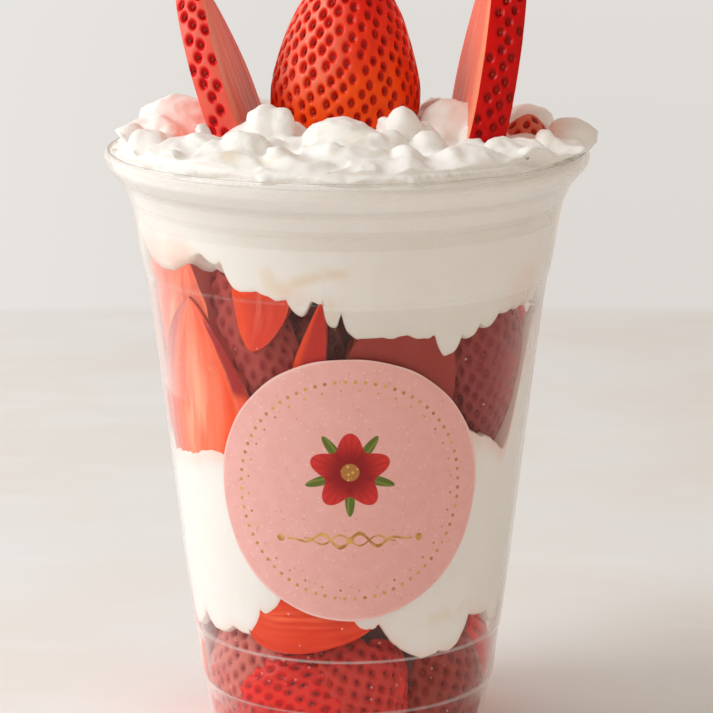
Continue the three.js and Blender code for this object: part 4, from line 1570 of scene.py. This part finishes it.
def make_berry(name, look, matrix, cut, size, faces, tones, area=None, seed=1,
               tone_at=None, ridge_sheen_at=None, wall=None):
    """A dressed strawberry and its seeds' places. tones are those of its skin, flesh and core.
    Against the wall, wall holds the gap, and how strong the beads, rim and juice are."""
    wall = wall or {}
    piece, plain = berry_mesh(name, cut, size, *faces, seed)
    for material in skin_and_flesh(look):
        piece.data.materials.append(material)
    face = mark_cut(piece, cut, size)
    seeds = skin_seeds(seed_places(size, area or look.seed_area, seed), cut, size)
    flat = read_places(piece)
    pit, ridge_and_sheen = press_pits(piece, seeds, look)
    places = read_places(piece)
    places[face] = flat[face]
    pit[face] = 0
    across_axis = 0 if cut == "half" else 1
    radius = np.maximum(np.interp(plain[:, 2], *berry_table(size)), 0.4)
    across = np.clip(plain[:, across_axis] / radius, -1, 1)
    along = plain[:, 2] / size["length"]
    if cut == "slab":
        grain = np.column_stack([across * 4.5, along * 0.8, plain[:, 0] * 0.3 + seed])
        groove = 0.16 * field(np.column_stack([across * 9, along * 3, plain[:, 0]]), 1.6, seed)
        sign = np.sign(plain[:, 0])
        places[:, 0] += np.where(face, groove * sign * (1 - across**6), 0)
    else:
        grain = np.column_stack([
            across * 3.4, along * 1.3 - np.abs(across), plain[:, 0] * 0.05 + seed,
        ])
    side, low, high = wall.get("rim", (1, 2, 3))
    in_rim = smooth(low, low + 0.06, along) * smooth(high, high - 0.06, along)
    rim = np.where(across * side > 0, in_rim, 0)
    skin_tone = np.tile(tones["skin"], (len(plain), 1)) if tone_at is None else tone_at(plain)
    # Painted shade in the pits: the skin's tone darkened, less for pieces against the wall.
    pit_shade_tone = skin_tone * mix(1.0, np.array(look.pit), wall.get("pit_shading", 0.6) if wall else 1.0)
    low, high = wall.get("juice", (2, 3))
    juicy = smooth(low, low + 0.1, along) * smooth(high, high - 0.1, along)
    juicy = juicy * smooth(-0.6, 0.2, across)
    pit_shade_tone = mix(pit_shade_tone, np.array(TONES["bright"]) * 0.9, juicy[:, None])
    paint(piece, "pit", "FLOAT", pit)
    # How strong the painted sheen on the ridges is.
    paint(piece, "ridge_and_sheen", "FLOAT", ridge_and_sheen * (0.3 if ridge_sheen_at is None else ridge_sheen_at(plain)))
    paint(piece, "rim", "FLOAT", rim)
    paint(piece, "fibre", "FLOAT", np.full(len(plain), 0.26 if wall else 0.5))
    # Painted glints on beads of juice, only on pieces against the wall.
    paint(piece, "bead_glints", "FLOAT", np.full(len(plain), 0.8 if wall else 0.0))
    paint(piece, "cut", "FLOAT_VECTOR", np.column_stack([across, along, plain[:, 0]]))
    paint(piece, "grain", "FLOAT_VECTOR", grain)
    paint(piece, "skin_tone", "FLOAT_COLOR", with_alpha(skin_tone))
    paint(piece, "pit_shade_tone", "FLOAT_COLOR", with_alpha(pit_shade_tone))
    paint(piece, "flesh_tone", "FLOAT_COLOR", with_alpha(flesh_tones(tones, across)))
    paint(piece, "core_tone", "FLOAT_COLOR", with_alpha(np.tile(tones["core"], (len(plain), 1))))
    places = moved_rows(places, matrix)
    sunk = seeds[0] - seeds[1] * (look.pit_depth / MM * 0.85)
    seed_rows = (
        moved_rows(sunk, matrix),
        moved_rows(seeds[1], matrix, True),
        moved_rows(seeds[2], matrix, True),
    )
    if wall:
        skin_out = wall.get("spin", 0) == 180 or cut == "whole"
        press = wall.get("press", 1.0)
        gap = wall["gap"] - BERRY_REACH
        places = against_wall(places, gap, None if skin_out else face, press)
        seed_rows = (against_wall(seed_rows[0], gap + 0.15, None, press), *seed_rows[1:])
    write_places(piece, places)
    smooth_shade(piece, 38)
    return piece, seed_rows


def berry_table(size):
    """Heights and radii of a berry's outline, to read a radius at a height."""
    radius, height = berry_profile(size, np.linspace(0, 1, 200))
    return height, radius


def back_berries(height, seed):
    """Berries round the back of a heap, by a seeded rule, every other one with its skin out."""
    draw = seeded_draws(seed)
    rule = BACK_BERRIES
    berries = []
    for i, angle in enumerate(rule["angles"]):
        width = mix(*rule["width"], next(draw))
        skin_out = i % 2 == 0
        berries.append(dict(
            cut="half",
            angle=angle,
            height=height + mix(-rule["stray"], rule["stray"], next(draw)),
            length=mix(*rule["length"], next(draw)),
            width=width,
            depth=rule["skin_depth"] * width if skin_out else rule["face_depth"],
            roll=mix(-rule["roll"], rule["roll"], next(draw)),
            spin=180 if skin_out else 0,
            gap=0,
            skin=("ripe", "crimson", "rose")[i % 3],
            flesh=("coral", "salmon", "scarlet")[i % 3],
            core="pale",
        ))
    return berries


def material_of(name, make, look):
    """A material that several pieces share, made once."""
    return bpy.data.materials.get(name) or make(look)


def skin_and_flesh(look):
    return [
        material_of("strawberry_skin", strawberry_skin, look),
        material_of("strawberry_flesh", strawberry_flesh, look),
    ]


def make_heap(name, node, look, front, back, low, high):
    """A heap of cut berries: the pieces against the wall, their seeds, and a dark core that is
    painted shade between them.
    """
    pieces, groups = [], []
    for number, berry in enumerate([*front, *back]):
        spin = berry.get("spin", 0)
        seen = number < len(front)
        skin_out = spin == 180 or berry["cut"] == "whole"
        faces = FACES_BACK if not seen else FACES_SKIN if skin_out else FACES_CUT
        matrix = wall_matrix(
            berry["angle"], berry["height"], berry["length"], berry["depth"], berry["roll"], spin
        )
        tones = {part: TONES[berry[part]] for part in ("skin", "flesh", "core")}
        for part in ("left", "right"):
            tones[part] = TONES[berry.get(part, berry["flesh"])]
        share = berry.get("ridge_and_sheen", 0.2)
        piece, seeds = make_berry(
            f"{name}_{number}", look, matrix, berry["cut"], berry, faces, tones,
            seed=number + 3, ridge_sheen_at=lambda places, share=share: share, wall=berry,
        )
        pieces.append(piece)
        groups.append(seeds)
    finish_piece(joined(name, pieces), [node], [])
    seeds = seed_mesh(f"{name}_seeds", groups, look.seed_length / MM)
    finish_piece(
        seeds, [node], [material_of("strawberry_seed", strawberry_seed, look)]
    )

    # The dark core is painted shade, seen in the gaps between the pieces.
    def outline_at(angle):
        heights = np.linspace(low(angle), high(angle), 12)
        swell = 2.2 * math.sin(math.radians(angle * 7))
        swell += 1.4 * math.sin(math.radians(angle * 11 + 40))
        rows = [(float(inside_radius(h)) - CORE_INSET + swell * 0.4, float(h)) for h in heights]
        return [(0, rows[0][1]), *rows, (0, rows[-1][1])]

    core = turned_body(f"{name}_core", fill_angles(3, 4), outline_at)
    smooth_shade(core, 50)
    finish_piece(core, [node], [material_of("heap_shade", heap_shade, look)])


def make_top_berries(look):
    """The whole berry, the two slices beside it and the small piece behind them."""
    seed_material = material_of("strawberry_seed", strawberry_seed, look)

    def stand(at, lean, yaw=0):
        return Matrix.Translation(at) @ turned(lean, "Y") @ turned(yaw, "Z")

    def dress(name, node, piece, seeds):
        finish_piece(piece, [node], [])
        pips = seed_mesh(f"{name}_seeds", [seeds], look.seed_length / MM)
        finish_piece(pips, [node], [seed_material])

    def centre_tone_and_shade(places):
        low, middle, high = np.array(CENTRE_TONES)
        share = places[:, 2] / CENTRE_BERRY["length"]
        side = places[:, 0] / (CENTRE_BERRY["width"] / 2)
        tone = mix(low, middle, smooth(0.38, 0.62, share - 0.1 * side)[:, None])
        tone = mix(tone, high, smooth(0.6, 0.95, share)[:, None])
        # Painted shade: the tone turns a darker red towards both sides as the camera sees them.
        return mix(tone, high * 0.8, (0.7 * smooth(0.55, 1.0, np.abs(side)))[:, None])

    def centre_ridge_sheen(places):
        side = places[:, 0] / (CENTRE_BERRY["width"] / 2)
        share = places[:, 2] / CENTRE_BERRY["length"]
        # Painted sheen, strongest on the left side and the upper part, where the key light falls.
        return 0.7 * smooth(0.2, -0.45, side) * smooth(0.28, 0.5, share)

    size = CENTRE_BERRY
    tones = dict(skin=TONES["ripe"], flesh=TONES["coral"], core=TONES["pale"])
    tones.update(left=tones["flesh"], right=tones["flesh"])
    piece, seeds = make_berry(
        "berry_centre_whole", look, stand(size["at"], size["lean"]), "whole", size, FACES_CENTRE,
        tones, seed=2, tone_at=centre_tone_and_shade, ridge_sheen_at=centre_ridge_sheen,
    )
    dress("berry_centre", "berry_centre", piece, seeds)

    for number, (name, size) in enumerate(SLICES.items()):
        tones = dict(SLICE_TONES, skin=size["skin"], left=size["left"])
        share = size["ridge_and_sheen"]
        piece, seeds = make_berry(
            f"{name}_cut", look, stand(size["at"], size["lean"], size["yaw"]), "slab", size,
            FACES_SLICE, tones, area=look.slice_area, seed=21 + number,
            ridge_sheen_at=lambda places, share=share: share,
        )
        dress(name, name, piece, seeds)

    size = REAR_BERRY
    tones = dict(skin=REAR_SKIN, flesh=TONES["coral"], core=TONES["pale"])
    tones.update(left=tones["flesh"], right=tones["flesh"])
    piece, seeds = make_berry(
        "berry_rear_piece", look, stand(size["at"], size["lean"]), "whole", size, FACES_REAR,
        tones, seed=31,
    )
    dress("berry_rear", "berry_rear", piece, seeds)


# ---------------------------------------------------------------- the cup and its label


class CupLook(bpy.types.PropertyGroup):
    """Finish of the clear cup"""

    sides: count_setting("Sides", "Faces round the cup", 192, min=48, max=360)
    softness: count_setting("Softness", "How often the corners are cut", 2, min=0, max=3)
    colour: colour_setting("Plastic", "Veil of the plastic", (0.86, 0.84, 0.82))
    line: colour_setting("Line", "Shade along the top of the lip", (0.42, 0.38, 0.34))
    gloss: number_setting(
        "Gloss", "Share of light the wall reflects face on", 0.016, min=0, max=1,
    )
    edge_veil: number_setting(
        "Edge veil", "How milky the wall is seen along it", 0.28, min=0, max=1,
    )
    # Strength of the painted highlights along the beads and the lip.
    bead_highlight: number_setting(
        "Bead veil", "How bright the moulded beads and the lip are", 0.5, min=0, max=1,
    )


class LabelLook(bpy.types.PropertyGroup):
    """Size and colours of the round paper label"""

    size: length_setting("Size", "Across the label", 54.5 * MM)
    height: length_setting("Height", "Of the label's centre", 61.3 * MM)
    angle: angle_setting("Angle", "Round the cup from the front", 1)
    thickness: length_setting("Thickness", "Of the paper", 0.3 * MM)
    paper: colour_setting("Paper", "Pink of the paper", (0.87, 0.465, 0.435))
    paper_deep: colour_setting("Deep pink", "Darker patches", (0.82, 0.41, 0.37))
    paper_light: colour_setting("Light pink", "Fibres and edge", (0.95, 0.70, 0.66))
    paper_speck: colour_setting("Speck", "Dark specks", (0.52, 0.22, 0.22))
    gold: colour_setting("Gold", "Light gold print", (0.78, 0.44, 0.14))
    gold_dark: colour_setting("Dark gold", "Dark gold print", (0.44, 0.19, 0.045))
    blossom: colour_setting("Blossom", "Red petals", (0.66, 0.035, 0.030))
    blossom_dark: colour_setting("Dark petals", "Petals near the middle", (0.28, 0.010, 0.012))
    leaf: colour_setting("Leaf", "Green leaves", (0.12, 0.16, 0.025))
    leaf_light: colour_setting("Light leaf", "Leaf veins", (0.28, 0.34, 0.06))


def make_cup(look):
    """The cup, drawn up from its base ring by ring, over the lip and down the inside."""
    outline = [(BASE_RADIUS, 0), *CUP_OUTSIDE, *LIP, *CUP_INSIDE[::-1], (BASE_RADIUS - WALL, FLOOR)]
    outline = softened(outline, look.softness)
    deselect()
    bpy.ops.mesh.primitive_circle_add(
        vertices=look.sides, radius=outline[0][0] * MM, fill_type="NGON", calc_uvs=False
    )
    piece = named("cup_shell")
    bpy.ops.object.mode_set(mode="EDIT")
    bpy.ops.mesh.select_mode(type="EDGE")
    bpy.ops.mesh.select_all(action="SELECT")
    for (r0, h0), (r1, h1) in zip(outline, outline[1:]):
        bpy.ops.mesh.extrude_edges_move(TRANSFORM_OT_translate={"value": (0, 0, (h1 - h0) * MM)})
        grow = r1 / r0
        bpy.ops.transform.resize(value=(grow, grow, 1), center_override=(0, 0, h1 * MM))
    bpy.ops.mesh.edge_face_add()
    bpy.ops.mesh.select_all(action="SELECT")
    bpy.ops.mesh.normals_make_consistent(inside=False)
    bpy.ops.object.mode_set(mode="OBJECT")
    smooth_shade(piece, 50)
    finish_piece(piece, ["cup"], [clear_plastic(look)])


def make_label(look):
    """A round sheet wrapped on the wall, its rim a little uneven as cut paper is."""
    deselect()
    bpy.ops.mesh.primitive_grid_add(x_subdivisions=72, y_subdivisions=72, size=2, calc_uvs=False)
    piece = named("label_print")
    square = read_places(piece) * MM
    u, v = square[:, 0], square[:, 1]
    x, y = u * np.sqrt(1 - v**2 / 2), v * np.sqrt(1 - u**2 / 2)
    turn = np.arctan2(y, x)
    uneven = 1 + 0.004 * np.sin(3 * turn + 1) + 0.003 * np.sin(7 * turn)
    uneven += 0.0016 * np.sin(17 * turn + 2)
    half = look.size / MM / 2
    across, up = x * half * uneven, y * half * uneven
    middle = look.height / MM
    height = middle + up
    radius = outside_radius(height) + 0.04
    angle = look.angle + across / outside_radius(height)
    write_places(piece, around(radius, angle, height))
    only(piece)
    bpy.ops.object.mode_set(mode="EDIT")
    bpy.ops.mesh.select_all(action="SELECT")
    bpy.ops.mesh.normals_make_consistent(inside=False)
    bpy.ops.object.mode_set(mode="OBJECT")
    outward = read_normals(piece)[:, 1].mean() < 0
    apply_modifier(piece, "SOLIDIFY", thickness=look.thickness, offset=1 if outward else -1)
    places = read_places(piece)
    angle = angles_of(places) - look.angle
    spread = np.column_stack([
        angle * outside_radius(places[:, 2]), places[:, 2] - middle, np.zeros(len(places)),
    ])
    paint(piece, "print", "FLOAT_VECTOR", spread)
    smooth_shade(piece, 50)
    finish_piece(piece, ["label"], [label_paper(look)])


# ---------------------------------------------------------------- stage


class StageLook(bpy.types.PropertyGroup):
    """Floor, light and camera"""

    floor: colour_setting("Floor", "Plain floor", (0.90, 0.90, 0.915))
    floor_warm: colour_setting("Warm floor", "Warmer patches", (0.87, 0.835, 0.805))
    floor_light: colour_setting("Light floor", "Lighter grain", (0.95, 0.96, 0.975))
    floor_width: length_setting("Floor width", "Across the view", 1.4)
    floor_depth: length_setting("Floor depth", "Away from the camera", 0.88)
    backdrop: colour_setting("Backdrop", "Air behind the cup", (0.775, 0.745, 0.715))
    fill_light: colour_setting("Fill light", "Warm light from all round", (0.78, 0.665, 0.56))
    key_power: number_setting(
        "Key power", "Of the soft light at the left", 8.6, subtype="POWER", unit="POWER",
    )
    side_power: number_setting(
        "Side power", "Of the low light behind at the left", 3.5, subtype="POWER", unit="POWER",
    )
    key_angle: angle_setting("Key angle", "Of the light round the cup", -74)
    key_rise: angle_setting("Key rise", "Of the light above the floor", 38)
    side_angle: angle_setting("Side angle", "Of the low light round the cup", -112)
    side_rise: angle_setting("Side rise", "Of the low light above the floor", 14)
    camera_place: bpy.props.FloatVectorProperty(
        name="Camera", description="Place of the camera", subtype="TRANSLATION", unit="LENGTH",
        size=3, default=(0.0019, -0.600, 0.2148),
    )
    camera_dip: angle_setting("Camera dip", "How far the camera looks down", 12.65)
    camera_lens: number_setting("Lens", "Focal length on a 36 mm sensor, in millimetres", 150.8)


def make_stage(look):
    """The floor, two lights, the air of the room and the camera."""
    deselect()
    bpy.ops.mesh.primitive_grid_add(x_subdivisions=2, y_subdivisions=2, size=1, location=(0, 0, 0))
    floor = named("stage_floor")
    floor.data.transform(Matrix.Diagonal((look.floor_width, look.floor_depth, 1, 1)))
    floor.data.materials.append(floor_finish(look))

    lights = (
        ("key_light", look.key_angle, look.key_rise, KEY_SIZE, look.key_power),
        ("side_light", look.side_angle, look.side_rise, SIDE_SIZE, look.side_power),
    )
    for name, turn, rise, size, power in lights:
        flat = math.cos(rise)
        place = Vector((math.sin(turn) * flat, -math.cos(turn) * flat, math.sin(rise)))
        location = Vector(LIGHT_TARGET) + place * LIGHT_DISTANCE
        bpy.ops.object.light_add(type="AREA", location=location)
        light = bpy.context.object
        light.name = name
        light.data.shape = "DISK"
        light.data.size = size
        light.data.energy = power
        light.data.color = LIGHT_COLOUR
        light.rotation_euler = (-place).to_track_quat("-Z", "Y").to_euler()

    world = bpy.data.worlds.new("soft_room")
    bpy.context.scene.world = world
    tree = Tree(world)
    straight = tree.node("ShaderNodeLightPath", output="Is Camera Ray")
    direction = tree.node("ShaderNodeTexCoord", output="Generated")
    aside, _, rise_share = tree.split(direction)
    sky = tree.blend(rise_share.step(-0.25, 0.9), look.fill_light, SKY_TOP)
    seen = tree.blend(rise_share.step(-0.22, 0.02), HORIZON, look.backdrop)
    # Painted light: the air seen at the left is lighter, where the key light stands.
    seen = tree.blend(aside.step(0.02, -0.14) * 0.7, seen, LEFT_LIT_AIR)
    colour = tree.blend(straight, sky, seen)
    light = tree.node("ShaderNodeBackground", {}, {"Color": colour, "Strength": 1.0})
    tree.finish(light, "ShaderNodeOutputWorld")

    bpy.ops.object.camera_add(
        location=look.camera_place, rotation=(math.pi / 2 - look.camera_dip, 0, 0)
    )
    camera = bpy.context.object
    camera.name = "camera"
    camera.data.sensor_width = 36
    camera.data.lens = look.camera_lens
    camera.data.clip_start = 0.01
    bpy.context.scene.camera = camera
    bpy.context.scene.view_settings.view_transform = "Standard"


# ---------------------------------------------------------------- operators


class DESSERT_OT_cup(bpy.types.Operator):
    """Make the clear cup"""

    bl_idname = "dessert.cup"
    bl_label = "Cup"

    def execute(self, context):
        make_cup(context.scene.dessert_cup)
        return {"FINISHED"}


class DESSERT_OT_label(bpy.types.Operator):
    """Make the round paper label"""

    bl_idname = "dessert.label"
    bl_label = "Label"

    def execute(self, context):
        make_label(context.scene.dessert_label)
        return {"FINISHED"}


class DESSERT_OT_cream(bpy.types.Operator):
    """Make both layers of cream and the spoonfuls on top"""

    bl_idname = "dessert.cream"
    bl_label = "Cream"

    def execute(self, context):
        look = context.scene.dessert_cream
        material = whipped_cream(look)
        make_middle_cream(material)
        make_top_cream(material)
        make_cream_peaks(look, material)
        return {"FINISHED"}


class DESSERT_OT_heaps(bpy.types.Operator):
    """Make both layers of cut strawberries"""

    bl_idname = "dessert.heaps"
    bl_label = "Cut strawberries"

    def execute(self, context):
        look = context.scene.dessert_berry
        make_heap(
            "berries_upper_pieces", "berries_upper", look,
            UPPER_BERRIES, back_berries(**UPPER_BACK),
            lambda angle: middle_cream_rim(angle) - 3, lambda angle: top_cream_edge(angle) + 2,
        )
        make_heap(
            "berries_lower_pieces", "berries_lower", look,
            LOWER_BERRIES, back_berries(**LOWER_BACK),
            lambda angle: HEAP_BOTTOM, lambda angle: middle_cream_edge(angle) + 2,
        )
        return {"FINISHED"}


class DESSERT_OT_top_berries(bpy.types.Operator):
    """Make the strawberries that stand in the cream on top"""

    bl_idname = "dessert.top_berries"
    bl_label = "Strawberries on top"

    def execute(self, context):
        make_top_berries(context.scene.dessert_berry)
        return {"FINISHED"}


class DESSERT_OT_stage(bpy.types.Operator):
    """Make the floor, the light and the camera"""

    bl_idname = "dessert.stage"
    bl_label = "Stage"

    def execute(self, context):
        make_stage(context.scene.dessert_stage)
        return {"FINISHED"}


class DESSERT_PT_panel(bpy.types.Panel):
    """The dessert's pieces, in the order they are made"""

    bl_idname = "DESSERT_PT_panel"
    bl_label = "Strawberries and Cream"
    bl_space_type = "VIEW_3D"
    bl_region_type = "UI"
    bl_category = "Dessert"

    def draw(self, context):
        for operator in OPERATORS:
            self.layout.operator(operator.bl_idname)


OPERATORS = (
    DESSERT_OT_cup,
    DESSERT_OT_label,
    DESSERT_OT_cream,
    DESSERT_OT_heaps,
    DESSERT_OT_top_berries,
    DESSERT_OT_stage,
)
LOOKS = {
    "dessert_cup": CupLook,
    "dessert_label": LabelLook,
    "dessert_cream": CreamLook,
    "dessert_berry": BerryLook,
    "dessert_stage": StageLook,
}


def register():
    for group in (*LOOKS.values(), *OPERATORS, DESSERT_PT_panel):
        bpy.utils.register_class(group)
    for name, group in LOOKS.items():
        setattr(bpy.types.Scene, name, bpy.props.PointerProperty(type=group))


def unregister():
    for name in LOOKS:
        delattr(bpy.types.Scene, name)
    for group in (DESSERT_PT_panel, *reversed(OPERATORS), *reversed(LOOKS.values())):
        bpy.utils.unregister_class(group)


def main():
    register()
    for operator in OPERATORS:
        group, name = operator.bl_idname.split(".")
        getattr(getattr(bpy.ops, group), name)()


if __name__ == "__main__":
    main()
